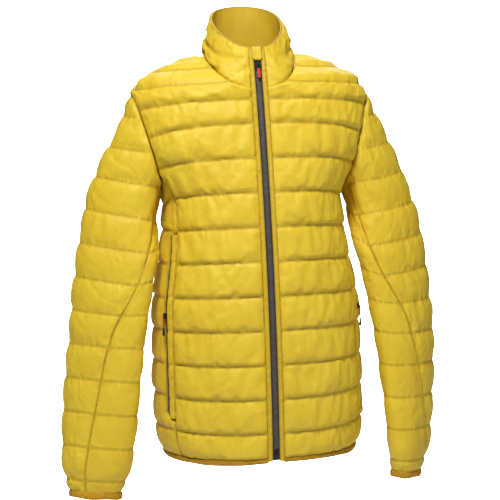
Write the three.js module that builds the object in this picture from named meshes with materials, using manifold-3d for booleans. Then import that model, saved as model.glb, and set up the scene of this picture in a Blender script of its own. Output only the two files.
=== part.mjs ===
// A quilted light jacket, worn on a stand: body panels, two-piece sleeves, a stand-up collar, a separating
// front zip and two zipped side pockets. Millimetres, +Z up, -Y to the front, +X to the wearer's left.
// The origin is the middle of the neck at the height of the shoulder's neck point.
import * as THREE from "three";
import Module from "manifold-3d";
import { mergeVertices } from "three/addons/utils/BufferGeometryUtils.js";

// Driving dimensions.
const CURVE = 2.3; // exponent of the body's superellipse sections
const PITCH = 53; // height of one quilted row
const HEM_Z = -634; // lower edge of the body panels
const SEAM = 0.2; // half of the gap that is left between two sewn pieces
const PANEL = 9; // thickness of a filled panel
const LINING = { from: 14, to: 15.2 }; // depth of the body lining below the outer surface
const NECK = { width: 70, drop: 60, z: -4, side: 8 }; // half width, front drop, height, depth at its side
const SHOULDER = { x: 188, z: -69, fall: 1.85, round: 26 }; // top of the armhole, and the slope before it
const UNDERARM = { x: 145, z: -225 }; // bottom of the armhole
const ZIP = { topY: -84, topZ: -23, bottomY: -138, bottomZ: -630, bulge: 24 };
const CHAIN = { half: 3.2, from: 0.6, to: 3.2 }; // zip teeth: half width and depth below the surface
const TAPE = { half: 11, from: 3.6, to: 4.4 };
const PLACKET = { inner: 5.6, outer: 11.2, from: -0.8, to: 3.2 };
const POCKET = { top: -286, bottom: -572, welt: 5.5, slot: 9, sliderZ: -412 }; // welt and slot in degrees
const TAG = { link: 8, tab: 15, cord: 20, tip: 13 }; // lengths of the zip pulls
const COLLAR = { topWidth: 61, backY: 62, shell: 5 };
const SLEEVE = { wall: 8, cuff: 10 };

// [height, half width], [height, depth] and [height, degrees] of the body's outline.
const BODY_WIDTH = [[-640, 153], [-620, 162], [-590, 167.5], [-400, 166], [-340, 156], [-280, 147],
  [-225, 145], [-190, 163], [-150, 181], [-100, 190], [-69, 188], [-48, 172], [-32, 150], [-13, 106],
  [-4, 70]];
const BACK_DEPTH = [[-640, 120], [-520, 115], [-400, 108], [-260, 116], [-180, 113], [-120, 103],
  [-69, 88], [-30, 72], [-4, 58]];
const SIDE_SEAM = [[-640, 60], [-400, 60], [-300, 63], [-200, 70], [-180, 72]];

// Each sleeve's middle line for the +X side, and its [share of length, value] outlines.
const SLEEVE_LINES = {
  right: [[166.5, 0, -147], [194, -10, -225], [220, -24, -315], [241, -31, -430], [255, -34, -540],
    [266, -36, -635], [270, -36, -684]],
  left: [[166.5, 0, -147], [193, -10, -225], [218, -24, -315], [235, -31, -430], [241, -34, -540],
    [240, -36, -635], [235, -36, -684]],
};
const SLEEVE_TURN = {
  right: [[0, 18], [0.4, 30], [0.7, 28], [1, 15]],
  left: [[0, 18], [0.4, 30], [0.7, 40], [1, 58]],
};
const SLEEVE_MAJOR = [[0, 74], [0.3, 69], [0.55, 66], [0.8, 62], [0.93, 56], [1, 43]];
const SLEEVE_MINOR = [[0, 46], [0.3, 36], [0.55, 33], [0.8, 31], [0.93, 30], [1, 24]];
const FRONT_SEAM = [[0, 146], [0.35, 146], [0.55, 110], [0.75, 92], [1, 70]];
const BACK_SEAM = [[0, 214], [0.35, 214], [0.75, 225], [1, 235]];

const SHELL = new THREE.MeshStandardMaterial({ color: 0xecd23c, roughness: 0.42, metalness: 0 });
const INNER = new THREE.MeshStandardMaterial({ color: 0xd8bd35, roughness: 0.55, metalness: 0 });
const TRIM = new THREE.MeshStandardMaterial({ color: 0xdba61e, roughness: 0.6, metalness: 0 });
const TAPE_GREY = new THREE.MeshStandardMaterial({ color: 0x6c6456, roughness: 0.8, metalness: 0 });
const TEETH_GREY = new THREE.MeshStandardMaterial({ color: 0x5a554c, roughness: 0.5, metalness: 0 });
const BLACK = new THREE.MeshStandardMaterial({ color: 0x1c1b1c, roughness: 0.45, metalness: 0.2 });
const RED = new THREE.MeshStandardMaterial({ color: 0xc8321e, roughness: 0.5, metalness: 0 });

const wasm = await Module();
wasm.setup();
const jacket = new THREE.Group();

const rad = THREE.MathUtils.degToRad;
const lerp = THREE.MathUtils.lerp;
const spaced = (count, from, to) => Array.from({ length: count + 1 }, (_, i) => lerp(from, to, i / count));

/** A smooth curve through [place, value] keys, sorted by place. */
function along(keys, place) {
  const last = keys.length - 1;
  const at = THREE.MathUtils.clamp(place, keys[0][0], keys[last][0]);
  const i = Math.min(keys.findLastIndex((key) => key[0] <= at), last - 1);
  const slope = (k) => {
    const a = keys[Math.max(k - 1, 0)];
    const b = keys[Math.min(k + 1, last)];
    return (b[1] - a[1]) / (b[0] - a[0]);
  };
  const span = keys[i + 1][0] - keys[i][0];
  const t = (at - keys[i][0]) / span;
  const ease = t * t * (3 - 2 * t);
  const rise = span * (t * (1 - t) ** 2 * slope(i) - t * t * (1 - t) * slope(i + 1));
  return lerp(keys[i][1], keys[i + 1][1], ease) + rise;
}

/** A mesh's geometry from points and triangles, turned so that its faces point out. */
function body(points, index) {
  let volume = 0;
  for (let i = 0; i < index.length; i += 3) {
    const [a, b, c] = index.slice(i, i + 3).map((k) => points[k]);
    volume += a.clone().cross(b).dot(c);
  }
  const facing = volume > 0 ? index : index.toReversed();
  const geometry = new THREE.BufferGeometry();
  const flat = points.flatMap((p) => p.toArray());
  geometry.setAttribute("position", new THREE.Float32BufferAttribute(flat, 3));
  geometry.setIndex(facing);
  geometry.computeVertexNormals();
  return geometry;
}

/** A closed wall between an outer and an inner grid of points; a ring joins its last column to its first. */
function wall(outer, inner, ring = false) {
  const rows = outer.length;
  const columns = outer[0].length;
  const spans = ring ? columns : columns - 1;
  const point = (side, row, column) => (side * rows + row) * columns + (column % columns);
  const index = [];
  const quad = (a, b, c, d) => index.push(a, b, c, a, c, d);
  const end = rows - 1;
  for (let c = 0; c < spans; c += 1) {
    for (let r = 0; r < end; r += 1) {
      quad(point(0, r, c), point(0, r + 1, c), point(0, r + 1, c + 1), point(0, r, c + 1));
      quad(point(1, r, c), point(1, r, c + 1), point(1, r + 1, c + 1), point(1, r + 1, c));
    }
    quad(point(0, 0, c), point(0, 0, c + 1), point(1, 0, c + 1), point(1, 0, c));
    quad(point(0, end, c + 1), point(0, end, c), point(1, end, c), point(1, end, c + 1));
  }
  for (let r = 0; r < end && !ring; r += 1) {
    quad(point(0, r + 1, 0), point(0, r, 0), point(1, r, 0), point(1, r + 1, 0));
    quad(point(1, r, spans), point(0, r, spans), point(0, r + 1, spans), point(1, r + 1, spans));
  }
  return body([...outer.flat(), ...inner.flat()], index);
}

/** A wall whose two faces are surface(row, column) at two depths below the outer surface. */
function sheet(rows, columns, from, to, surface, ring = false) {
  const face = (depth) => rows.map((row) => columns.map((column) => surface(row, column, depth)));
  return wall(face(from), face(to), ring);
}

function solid(geometry) {
  const bare = geometry.clone();
  bare.deleteAttribute("normal");
  bare.deleteAttribute("uv");
  const merged = mergeVertices(bare, 1e-4);
  const vertProperties = new Float32Array(merged.attributes.position.array);
  const triVerts = new Uint32Array(merged.index.array);
  return new wasm.Manifold(new wasm.Mesh({ numProp: 3, vertProperties, triVerts }));
}

function cut(geometry, tool) {
  const mesh = solid(geometry).subtract(solid(tool)).getMesh();
  const result = new THREE.BufferGeometry();
  result.setAttribute("position", new THREE.Float32BufferAttribute(mesh.vertProperties, 3));
  result.setIndex([...mesh.triVerts]);
  result.computeVertexNormals();
  return result;
}

function add(name, geometry, material, parent = jacket) {
  const mesh = new THREE.Mesh(geometry, material);
  mesh.name = name;
  parent.add(mesh);
}

// The front zip's arc, in the plane x = 0: its middle is far behind the jacket.
const zipChord = Math.hypot(ZIP.bottomY - ZIP.topY, ZIP.bottomZ - ZIP.topZ);
const zipRadius = zipChord ** 2 / (8 * ZIP.bulge) + ZIP.bulge / 2;
const zipNormal = [(ZIP.topZ - ZIP.bottomZ) / zipChord, (ZIP.bottomY - ZIP.topY) / zipChord];
const zipMiddle = [0, 1].map((k) => [ZIP.topY + ZIP.bottomY, ZIP.topZ + ZIP.bottomZ][k] / 2
  + zipNormal[k] * (zipRadius - ZIP.bulge));
const zipDepth = (z) => Math.sqrt(zipRadius ** 2 - (z - zipMiddle[1]) ** 2) - zipMiddle[0];

const width = (z) => along(BODY_WIDTH, z);
const neckFront = NECK.z - NECK.drop;
/** The front's depth: a slope down from the shoulder that rounds over into the zip's arc. */
function frontDepth(z) {
  const slope = NECK.side + (NECK.z - z) * SHOULDER.fall;
  const arc = zipDepth(z);
  const share = THREE.MathUtils.clamp(0.5 + (arc - slope) / (2 * SHOULDER.round), 0, 1);
  return lerp(arc, slope, share) - SHOULDER.round * share * (1 - share);
}
const depthAt = (back, z) => (back ? along(BACK_DEPTH, z) : frontDepth(z));

/** The body's outer surface. angle runs from 0 at the centre front to half a turn at the centre back. */
function torso(side, z, angle, depth) {
  const back = angle > Math.PI / 2;
  const half = width(z);
  const deep = depthAt(back, z);
  const x = half * Math.abs(Math.sin(angle)) ** (2 / CURVE);
  const y = deep * Math.abs(Math.cos(angle)) ** (2 / CURVE);
  const sx = x / half;
  const sy = y / deep;
  const slope = (f) => (f(z + 1) - f(z - 1)) / 2;
  const normal = new THREE.Vector3(
    sx ** (CURVE - 1) / half,
    (back ? 1 : -1) * sy ** (CURVE - 1) / deep,
    -(sx ** CURVE * slope(width)) / half - (sy ** CURVE * slope((h) => depthAt(back, h))) / deep,
  ).normalize();
  const point = new THREE.Vector3(x, back ? y : -y, z).addScaledVector(normal, -depth);
  const past = Math.max(armholeSide.dot(point) - armholeSide.dot(armholeTop) + SEAM, 0);
  if (z > UNDERARM.z - 1) point.addScaledVector(armholeSide, -past);
  return new THREE.Vector3(side * point.x, point.y, point.z);
}

// The armhole's plane, and where the body's section at a height meets it.
const armholeTop = new THREE.Vector3(SHOULDER.x, 0, SHOULDER.z);
const armholeSide = new THREE.Vector3(SHOULDER.z - UNDERARM.z, 0, UNDERARM.x - SHOULDER.x).normalize();
const armholeX = (z) => lerp(UNDERARM.x, SHOULDER.x, (z - UNDERARM.z) / (SHOULDER.z - UNDERARM.z));
const angleOfX = (x, z) => Math.asin(Math.min(x / width(z), 1) ** (CURVE / 2));
const seamAngle = (z) => rad(along(SIDE_SEAM, z));

/** The angle at which a body panel ends at a height: the side seam, the armhole or the shoulder seam. */
function panelEnd(z) {
  if (z >= SHOULDER.z) return Math.PI / 2;
  const armhole = z > UNDERARM.z ? angleOfX(armholeX(z), z) : Math.PI / 2;
  return Math.min(armhole, z < UNDERARM.z + PITCH ? seamAngle(z) : armhole);
}

/** The height where the side panel meets the armhole, a share of the way from its front to back seam. */
function sideTop(share) {
  let low = UNDERARM.z - 1;
  let high = UNDERARM.z + PITCH;
  for (let i = 0; i < 30; i += 1) {
    const middle = (low + high) / 2;
    const angle = lerp(seamAngle(middle), Math.PI - seamAngle(middle), share);
    if (width(middle) * Math.sin(angle) ** (2 / CURVE) > armholeX(middle)) high = middle;
    else low = middle;
  }
  return low;
}

/** The heights of a body panel's rows, from the hem to the neck: the quilting lines and the shoulder. */
function levels() {
  const quilted = spaced(10, neckFront - 10 * PITCH, neckFront);
  const shoulder = [22, 42, 64, 88].map((degrees) => NECK.z - NECK.drop * Math.cos(rad(degrees)));
  return [HEM_Z, ...quilted, sideTop(0), ...shoulder].sort((a, b) => a - b);
}

function frontPanel(side, from, to, count, edge) {
  const neck = (z) => (z > neckFront ? NECK.width * Math.sqrt(1 - ((NECK.z - z) / NECK.drop) ** 2) : 0);
  return sheet(levels(), spaced(count, 0, 1), from, to, (z, share, depth) => {
    const inner = angleOfX(Math.max(neck(z) + 1.5, edge), z);
    return torso(side, z, lerp(inner, panelEnd(z) - SEAM / width(z), share), depth);
  });
}

function backPanel(from, to, count) {
  return sheet(levels(), spaced(2 * count, -1, 1), from, to, (z, share, depth) => {
    const end = Math.PI - panelEnd(z) + SEAM / width(z);
    return torso(share < 0 ? -1 : 1, z, lerp(Math.PI, end, Math.abs(share)), depth);
  });
}

/** Under the armhole, from the front seam to the back seam, with the pocket's window cut out. */
function sidePanel(side, from, to) {
  const corner = sideTop(0);
  const straight = UNDERARM.z - PITCH;
  const inset = 0.007;
  const rows = levels().filter((z) => z <= corner);
  const panel = sheet(rows, spaced(6, inset, 1 - inset), from, to, (level, share, depth) => {
    const rise = Math.max((level - straight) / (corner - straight), 0);
    const z = rise > 0 ? lerp(straight, sideTop(share) - 2 * SEAM, rise) : level;
    return torso(side, z, lerp(seamAngle(z), Math.PI - seamAngle(z), share), depth);
  });
  return cut(panel, pocketBand(side, -1, POCKET.slot, -6, 30, POCKET.top, POCKET.bottom));
}

/** A strip along the front side seam, between two angles in degrees past it. */
function pocketBand(side, past, until, from, to, top, bottom, count = 1) {
  const quilted = levels().filter((z) => z > bottom && z < top);
  return sheet([bottom, ...quilted, top], spaced(count, past, until), from, to, (z, degrees, depth) => (
    torso(side, z, seamAngle(z) + rad(degrees), depth)));
}

/** A strip that follows the front zip's arc, between two distances from the middle. */
function zipBand(fromX, toX, from, to, top, bottom, steps = 14) {
  const surface = (z, x, depth) => {
    const turn = Math.asin((z - zipMiddle[1]) / zipRadius);
    const radius = zipRadius - depth;
    const height = zipMiddle[1] + radius * Math.sin(turn);
    return new THREE.Vector3(x, zipMiddle[0] - radius * Math.cos(turn), height);
  };
  return sheet(spaced(steps, bottom, top), [fromX, toX], from, to, surface);
}

/** The collar's outer surface. angle runs from 0 at the centre front to half a turn at the centre back. */
function collar(side, rise, angle, depth) {
  const back = angle > Math.PI / 2;
  const cos = Math.cos(angle);
  const seamX = NECK.width * Math.sin(angle);
  const seamZ = back ? NECK.z : NECK.z - NECK.drop * cos;
  const half = back ? NECK.width : width(seamZ);
  const share = Math.max(1 - (seamX / half) ** CURVE, 0) ** (1 / CURVE);
  const seamY = depthAt(back, Math.min(seamZ, NECK.z)) * share;
  const topZ = 35 - 37 * cos + 9 * Math.sin(angle) ** 2;
  const topY = (back ? COLLAR.backY : zipDepth(topZ)) * Math.abs(cos) ** 0.9;
  const x = lerp(seamX, COLLAR.topWidth * Math.sin(angle), rise);
  const y = lerp(seamY, topY, rise);
  const z = lerp(seamZ + 3 * SEAM, topZ, rise);
  const out = new THREE.Vector3(x / NECK.width, (back ? y : -y) / 85, 0).normalize();
  const point = new THREE.Vector3(x, back ? y : -y, z).addScaledVector(out, -depth);
  return new THREE.Vector3(side * point.x, point.y, point.z);
}

function collarShell(from, to) {
  const opening = Math.asin((PLACKET.outer + 0.6) / COLLAR.topWidth);
  return sheet(spaced(3, 0, 1), spaced(24, opening - Math.PI, Math.PI - opening), from, to,
    (rise, turn, depth) => collar(turn < 0 ? -1 : 1, rise, Math.PI - Math.abs(turn), depth));
}

/** The armhole's edge on the body, angle 0 at the shoulder, a quarter turn at the front. */
function armhole(angle) {
  const z = lerp(UNDERARM.z, SHOULDER.z, (1 + Math.cos(angle)) / 2);
  const back = Math.sin(angle) < 0;
  const y = depthAt(back, z) * Math.max(1 - (armholeX(z) / width(z)) ** CURVE, 0) ** (1 / CURVE);
  return new THREE.Vector3(armholeX(z), back ? y : -y, z);
}

/** A sleeve's outer surface: the armhole's edge eases into turned ovals along the sleeve's line. */
function sleeve(which, share, angle, depth) {
  const side = which === "left" ? 1 : -1;
  const line = sleeveLine[which];
  const centre = line.getPointAt(share);
  const tangent = line.getTangentAt(share);
  const out = new THREE.Vector3(-tangent.z, 0, tangent.x).normalize();
  const turn = rad(along(SLEEVE_TURN[which], share));
  const back = new THREE.Vector3(0, 1, 0);
  const major = out.clone().multiplyScalar(Math.cos(turn)).addScaledVector(back, Math.sin(turn));
  const minor = out.clone().multiplyScalar(Math.sin(turn)).addScaledVector(back, -Math.cos(turn));
  const oval = centre.clone()
    .addScaledVector(major, along(SLEEVE_MAJOR, share) * Math.cos(angle))
    .addScaledVector(minor, along(SLEEVE_MINOR, share) * Math.sin(angle));
  const head = armhole(angle).add(centre).sub(line.getPointAt(0));
  const over = THREE.MathUtils.smoothstep(share, 0, 0.2);
  const under = THREE.MathUtils.smoothstep(share, 0, 0.34);
  const point = head.lerp(oval, lerp(under, over, (1 + Math.cos(angle)) / 2));
  point.addScaledVector(point.clone().sub(centre).normalize(), -depth);
  const short = Math.min(armholeSide.dot(point) - armholeSide.dot(armholeTop) - 2 * SEAM, 0);
  point.addScaledVector(armholeSide, -short);
  return new THREE.Vector3(side * point.x, point.y, point.z);
}

const sleeveLine = Object.fromEntries(Object.entries(SLEEVE_LINES).map(([which, points]) => (
  [which, new THREE.CatmullRomCurve3(points.map((p) => new THREE.Vector3(...p)))])));

/** Part of a sleeve's wall between its two seams, each given as an angle along the sleeve. */
function sleevePanel(which, count, startAt, endAt) {
  return sheet(spaced(12, 0, 1), spaced(count, 0, 1), 0, SLEEVE.wall, (share, across, depth) => (
    sleeve(which, share, rad(lerp(startAt(share), endAt(share), across)), depth)));
}

/** The sleeve's lining, a thin tube that lies further inside towards the armhole. */
function sleeveLining(which) {
  const turns = spaced(16, 0, 2 * Math.PI).slice(0, -1);
  const from = SLEEVE.wall + 5;
  return sheet(spaced(7, 0.02, 1), turns, from, from + 1, (share, turn, depth) => (
    sleeve(which, share, turn, depth + 5 * (1 - share) ** 2)), true);
}

/** An elastic binding below the sleeve's end, following its last oval. */
function cuffBinding(which) {
  const tangent = sleeveLine[which].getTangentAt(1);
  const step = new THREE.Vector3((which === "left" ? 1 : -1) * tangent.x, tangent.y, tangent.z);
  const turns = spaced(20, 0, 2 * Math.PI).slice(0, -1);
  return sheet([0.4, SLEEVE.cuff], turns, 0, 3, (down, turn, depth) => (
    sleeve(which, 1, turn, depth).addScaledVector(step, down)), true);
}

/** A group at a place, turned so that its own -Y points along a level direction, then leant back. */
function seat(x, y, z, turn, lean) {
  const group = new THREE.Group();
  group.position.set(x, y, z);
  group.rotation.set(lean, 0, turn, "ZXY");
  jacket.add(group);
  return group;
}

function block(wide, deep, tall, x = 0, y = 0, z = 0) {
  return new THREE.BoxGeometry(wide, deep, tall).translate(x, y, z);
}

/** A flat plate with tapered ends, standing in the XZ plane, with its thickness along Y. */
function plate(topHalf, bottomHalf, tall, thick, hole) {
  const outline = new THREE.Shape();
  outline.moveTo(-bottomHalf, 0);
  outline.lineTo(bottomHalf, 0);
  outline.lineTo(topHalf, tall * 0.45);
  outline.lineTo(topHalf, tall);
  outline.lineTo(-topHalf, tall);
  outline.lineTo(-topHalf, tall * 0.45);
  outline.closePath();
  if (hole) {
    const gap = new THREE.Path();
    gap.moveTo(-hole.half, hole.low);
    gap.lineTo(-hole.half, hole.high);
    gap.lineTo(hole.half, hole.high);
    gap.lineTo(hole.half, hole.low);
    gap.closePath();
    outline.holes.push(gap);
  }
  const flat = new THREE.ExtrudeGeometry(outline, { depth: thick, bevelEnabled: false });
  return flat.rotateX(Math.PI / 2);
}

// Body panels, their lining and the hem.
for (const [which, side] of [["right", -1], ["left", 1]]) {
  add(`front_${which}`, frontPanel(side, 0, PANEL, 7, PLACKET.outer + 0.4), SHELL);
  add(`side_${which}`, sidePanel(side, 0, PANEL), SHELL);
  add(`lining_front_${which}`, frontPanel(side, LINING.from, LINING.to, 7, PLACKET.outer + 4), INNER);
}
add("back", backPanel(0, PANEL, 7), SHELL);
add("lining_back", backPanel(LINING.from, LINING.to, 7), INNER);
const hemStart = 0.075;
const hemTurns = spaced(32, hemStart - Math.PI, Math.PI - hemStart);
add("hem_binding", sheet([HEM_Z - 6.4, HEM_Z - 0.4], hemTurns, 1, 7, (z, turn, depth) => (
  torso(turn < 0 ? -1 : 1, HEM_Z, Math.PI - Math.abs(turn), depth).setZ(z))), TRIM);

// Collar: the outer shell, its lining, the guard over the zip's end and the loop it hangs by.
add("collar", collarShell(0, COLLAR.shell), SHELL);
add("collar_lining", collarShell(COLLAR.shell + 0.5, COLLAR.shell + 3), INNER);
add("zip_guard", zipBand(-8, 7, -4, -1.4, -1, -22, 3), SHELL);
const loop = seat(0, 42, -20, 0, 0);
add("hanger_loop", plate(22, 22, 13, 2.4, { half: 19, low: 3, high: 9.5 }), TRIM, loop);

// Front zip: plackets, tapes, chains, stops, the box and its pin, and the flap behind.
for (const [which, side] of [["right", -1], ["left", 1]]) {
  const band = (near, far, from, to, top, bottom, steps) => {
    const [low, high] = [side * near, side * far].sort((a, b) => a - b);
    return zipBand(low, high, from, to, top, bottom, steps);
  };
  const chainEnd = ZIP.bottomZ + 13;
  add(`placket_${which}`, band(PLACKET.inner, PLACKET.outer, PLACKET.from, PLACKET.to, -3, -637), SHELL);
  add(`zip_tape_${which}`, band(0.3, TAPE.half, TAPE.from, TAPE.to, -14, -636), TAPE_GREY);
  add(`zip_chain_${which}`, band(0.15, CHAIN.half, CHAIN.from, CHAIN.to, ZIP.topZ, chainEnd), TEETH_GREY);
  add(`zip_stop_${which}`, band(0.4, 3.6, 0.3, CHAIN.to, ZIP.topZ + 3.4, ZIP.topZ + 0.5, 1), BLACK);
}
add("zip_box", zipBand(-3.8, 0.8, -0.4, 3.2, ZIP.bottomZ + 5, ZIP.bottomZ - 5, 1), BLACK);
add("zip_pin", zipBand(1.2, 3.4, 0.2, 3, ZIP.bottomZ + 12, ZIP.bottomZ - 5, 1), BLACK);
add("draft_flap", zipBand(-10, 16, 10.4, 11.8, -68, -628), INNER);

// The zip's slider at the top, and its pull.
const slideZ = ZIP.topZ - 13;
const slideLean = -Math.asin((slideZ - zipMiddle[1]) / zipRadius);
const slide = seat(0, -zipDepth(slideZ), slideZ, 0, slideLean);
add("slider_front", plate(4.9, 3.9, 12, 2.4).translate(0, -0.05, 0), BLACK, slide);
add("slider_back", plate(4.9, 3.9, 12, 1.4).translate(0, 6.3, 0), BLACK, slide);
const arch = new THREE.Shape([[5.8, 0], [5.8, 3.6], [10.8, 3.6], [10.8, 0], [9.6, 0], [9.6, 2.2], [7, 2.2],
  [7, 0]].map(([up, out]) => new THREE.Vector2(up, out)));
const bridge = new THREE.ExtrudeGeometry(arch, { depth: 1.8, bevelEnabled: false });
bridge.translate(0, 0, -0.9).rotateY(-Math.PI / 2).rotateZ(Math.PI).translate(0, -2.75, 0);
add("slider_bridge", bridge, BLACK, slide);
const linkPlate = plate(2.9, 2.2, TAG.link, 1.2, { half: 1.7, low: 1.4, high: TAG.link - 1.2 });
add("pull_link", linkPlate.translate(0, -3.4, 9.2 - TAG.link), BLACK, slide);
add("pull_tab", plate(2.6, 2.2, TAG.tab, 2.2).translate(0, -2.9, 8.9 - TAG.link - TAG.tab), RED, slide);

// Side pockets: welt, zip tape, bag behind the panel, slider and its cord pull.
for (const [which, side] of [["right", -1], ["left", 1]]) {
  const { top, bottom, welt, slot } = POCKET;
  add(`pocket_welt_${which}`, pocketBand(side, 0.2, welt, -1.2, 6, top - 0.4, bottom + 0.4), SHELL);
  add(`pocket_zip_${which}`, pocketBand(side, welt + 0.2, slot - 0.2, 4.6, 6, top - 0.4, bottom + 0.4), BLACK);
  const bag = pocketBand(side, -38, slot + 4, 10.2, 12, POCKET.sliderZ + 20, HEM_Z + 40, 6);
  add(`pocket_bag_${which}`, bag, INNER);
  const middle = (z) => seamAngle(z) + rad((welt + slot) / 2);
  const at = torso(side, POCKET.sliderZ, middle(POCKET.sliderZ), 0);
  const deep = torso(side, POCKET.sliderZ, middle(POCKET.sliderZ), 1);
  const pocket = seat(at.x, at.y, at.z, Math.atan2(at.x - deep.x, deep.y - at.y), 0);
  add(`pocket_slider_${which}`, block(5.4, 4, 9, 0, 0.6, 0), BLACK, pocket);
  const cord = new THREE.CylinderGeometry(1.1, 1.1, TAG.cord, 8).rotateX(Math.PI / 2);
  add(`pocket_cord_${which}`, cord.translate(0, -2.9, 2 - TAG.cord / 2), RED, pocket);
  const tip = new THREE.CylinderGeometry(1.3, 1.9, TAG.tip, 8).rotateX(Math.PI / 2);
  add(`pocket_tip_${which}`, tip.translate(0, -2.9, 1.7 - TAG.cord - TAG.tip / 2), BLACK, pocket);
}

// Sleeves: the upper and under panels, the lining and the elastic at the wrist.
const frontSeam = (share) => along(FRONT_SEAM, share);
const backSeam = (share) => along(BACK_SEAM, share);
for (const which of ["right", "left"]) {
  add(`sleeve_upper_${which}`, sleevePanel(which, 12, (s) => backSeam(s) - 359.4, frontSeam), SHELL);
  add(`sleeve_under_${which}`, sleevePanel(which, 4, (s) => frontSeam(s) + 0.6, backSeam), SHELL);
  add(`sleeve_lining_${which}`, sleeveLining(which), INNER);
  add(`cuff_binding_${which}`, cuffBinding(which), TRIM);
}

export default jacket;
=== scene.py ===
"""A quilted light jacket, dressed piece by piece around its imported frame.

Sizes are millimetres until a mesh is written, +Z is up, -Y is the front and +X is the wearer's left.
"""
from __future__ import annotations

import logging
import math
from dataclasses import dataclass
from enum import Enum
from typing import Callable

import bpy
import numpy as np
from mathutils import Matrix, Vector


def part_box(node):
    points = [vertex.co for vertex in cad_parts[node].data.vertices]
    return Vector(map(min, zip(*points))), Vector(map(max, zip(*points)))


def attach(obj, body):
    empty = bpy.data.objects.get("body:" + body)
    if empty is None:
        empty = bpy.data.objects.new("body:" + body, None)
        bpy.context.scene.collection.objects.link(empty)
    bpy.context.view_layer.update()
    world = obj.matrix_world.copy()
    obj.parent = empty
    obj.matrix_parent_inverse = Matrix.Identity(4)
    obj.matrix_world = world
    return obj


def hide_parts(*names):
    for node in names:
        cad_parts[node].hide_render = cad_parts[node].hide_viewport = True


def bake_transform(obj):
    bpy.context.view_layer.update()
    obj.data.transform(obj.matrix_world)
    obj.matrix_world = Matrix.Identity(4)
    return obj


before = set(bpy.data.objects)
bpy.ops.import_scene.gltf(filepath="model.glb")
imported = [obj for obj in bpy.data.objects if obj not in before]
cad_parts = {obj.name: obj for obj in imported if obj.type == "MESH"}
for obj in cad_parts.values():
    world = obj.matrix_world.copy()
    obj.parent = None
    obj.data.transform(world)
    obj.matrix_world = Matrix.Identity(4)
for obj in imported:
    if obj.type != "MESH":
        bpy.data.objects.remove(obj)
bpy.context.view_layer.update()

Array = np.ndarray
Keys = tuple[tuple[float, float], ...]
LOG = logging.getLogger("jacket")
MM = 0.001
PITCH = 53.0
HEM_Z = -634.0
SEAM_DEPTH = 3.6
GRID_STEP = 5.8
SETTLE_FRAMES = 22
SETTLED_SHARE = 0.55
COLLAR_THICKNESS, SLEEVE_THICKNESS, BODY_THICKNESS = 2.6, 4.4, 5.4
FRONT_MIDDLE = (60.0, 10.0)


class Side(Enum):
    """A side of the wearer: its name in the frame and the sign of its x."""

    RIGHT = ("right", -1.0)
    LEFT = ("left", 1.0)

    @property
    def label(self) -> str:
        """The word that ends the names of this side's pieces."""
        return self.value[0]

    @property
    def sign(self) -> float:
        """The sign of x on this side."""
        return self.value[1]


class Slot(Enum):
    """The record's material slots."""

    SHELL = "shell_fabric"
    LINING = "lining_fabric"
    BINDING = "elastic_binding"
    TAPE = "zip_tape"
    TEETH = "zip_teeth"
    HARDWARE = "dark_hardware"
    RED = "red_pull"


# ---------------------------------------------------------------- numbers


def along(keys: Keys, place: Array) -> Array:
    """A smooth curve through (place, value) keys: a cubic whose slope at a key is that of its neighbours.

    Args:
        keys: The keys, sorted by place.
        place: Where to read the curve.

    Returns:
        The values, the same shape as place.
    """
    at = np.array([key[0] for key in keys], float)
    value = np.array([key[1] for key in keys], float)
    low = np.maximum(np.arange(len(at)) - 1, 0)
    high = np.minimum(np.arange(len(at)) + 1, len(at) - 1)
    slope = (value[high] - value[low]) / (at[high] - at[low])
    place = np.clip(np.asarray(place, float), at[0], at[-1])
    i = np.clip(np.searchsorted(at, place, side="right") - 1, 0, len(at) - 2)
    span = at[i + 1] - at[i]
    t = (place - at[i]) / span
    ease = t * t * (3 - 2 * t)
    rise = span * (t * (1 - t) ** 2 * slope[i] - t * t * (1 - t) * slope[i + 1])
    return value[i] + (value[i + 1] - value[i]) * ease + rise


def smoothstep(x: Array, low: float, high: float) -> Array:
    """0 below low, 1 above high and smooth between."""
    t = np.clip((x - low) / (high - low), 0, 1)
    return t * t * (3 - 2 * t)


def mix(a: Array, b: Array, share: Array) -> Array:
    """The value a share of the way from a to b."""
    return a + (b - a) * share


def unit(v: Array) -> Array:
    """Vectors along the last axis brought to length 1."""
    return v / np.maximum(np.linalg.norm(v, axis=-1, keepdims=True), 1e-9)


def value_noise(x: Array, y: Array, seed: int) -> Array:
    """Smooth noise from -1 to 1 with cells one unit wide: random corners, eased between.

    Args:
        x: Places in cells across.
        y: Places in cells up.
        seed: The seed of the random table.

    Returns:
        The noise, of the shape that x and y share.
    """
    table = np.random.default_rng(seed).uniform(-1, 1, (128, 128))
    x, y = np.broadcast_arrays(x, y)
    i, j = np.floor(x).astype(int), np.floor(y).astype(int)
    s, t = x - i, y - j
    s, t = s * s * (3 - 2 * s), t * t * (3 - 2 * t)
    corner = [[table[(i + a) % 128, (j + b) % 128] for b in (0, 1)] for a in (0, 1)]
    return mix(mix(corner[0][0], corner[1][0], s), mix(corner[0][1], corner[1][1], s), t)


def grid_normals(points: Array, away: Array) -> Array:
    """Unit normals of a grid, on the side that points away from the given middle.

    Args:
        points: Rows by columns of points.
        away: A point or grid of points that the normals face away from.

    Returns:
        A normal for each point.
    """
    du = np.gradient(points, axis=1)
    dv = np.gradient(points, axis=0)
    normal = unit(np.cross(du, dv))
    sign = np.sign(np.sum(np.sum(normal * (points - away), axis=-1)))
    return normal * sign


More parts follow.
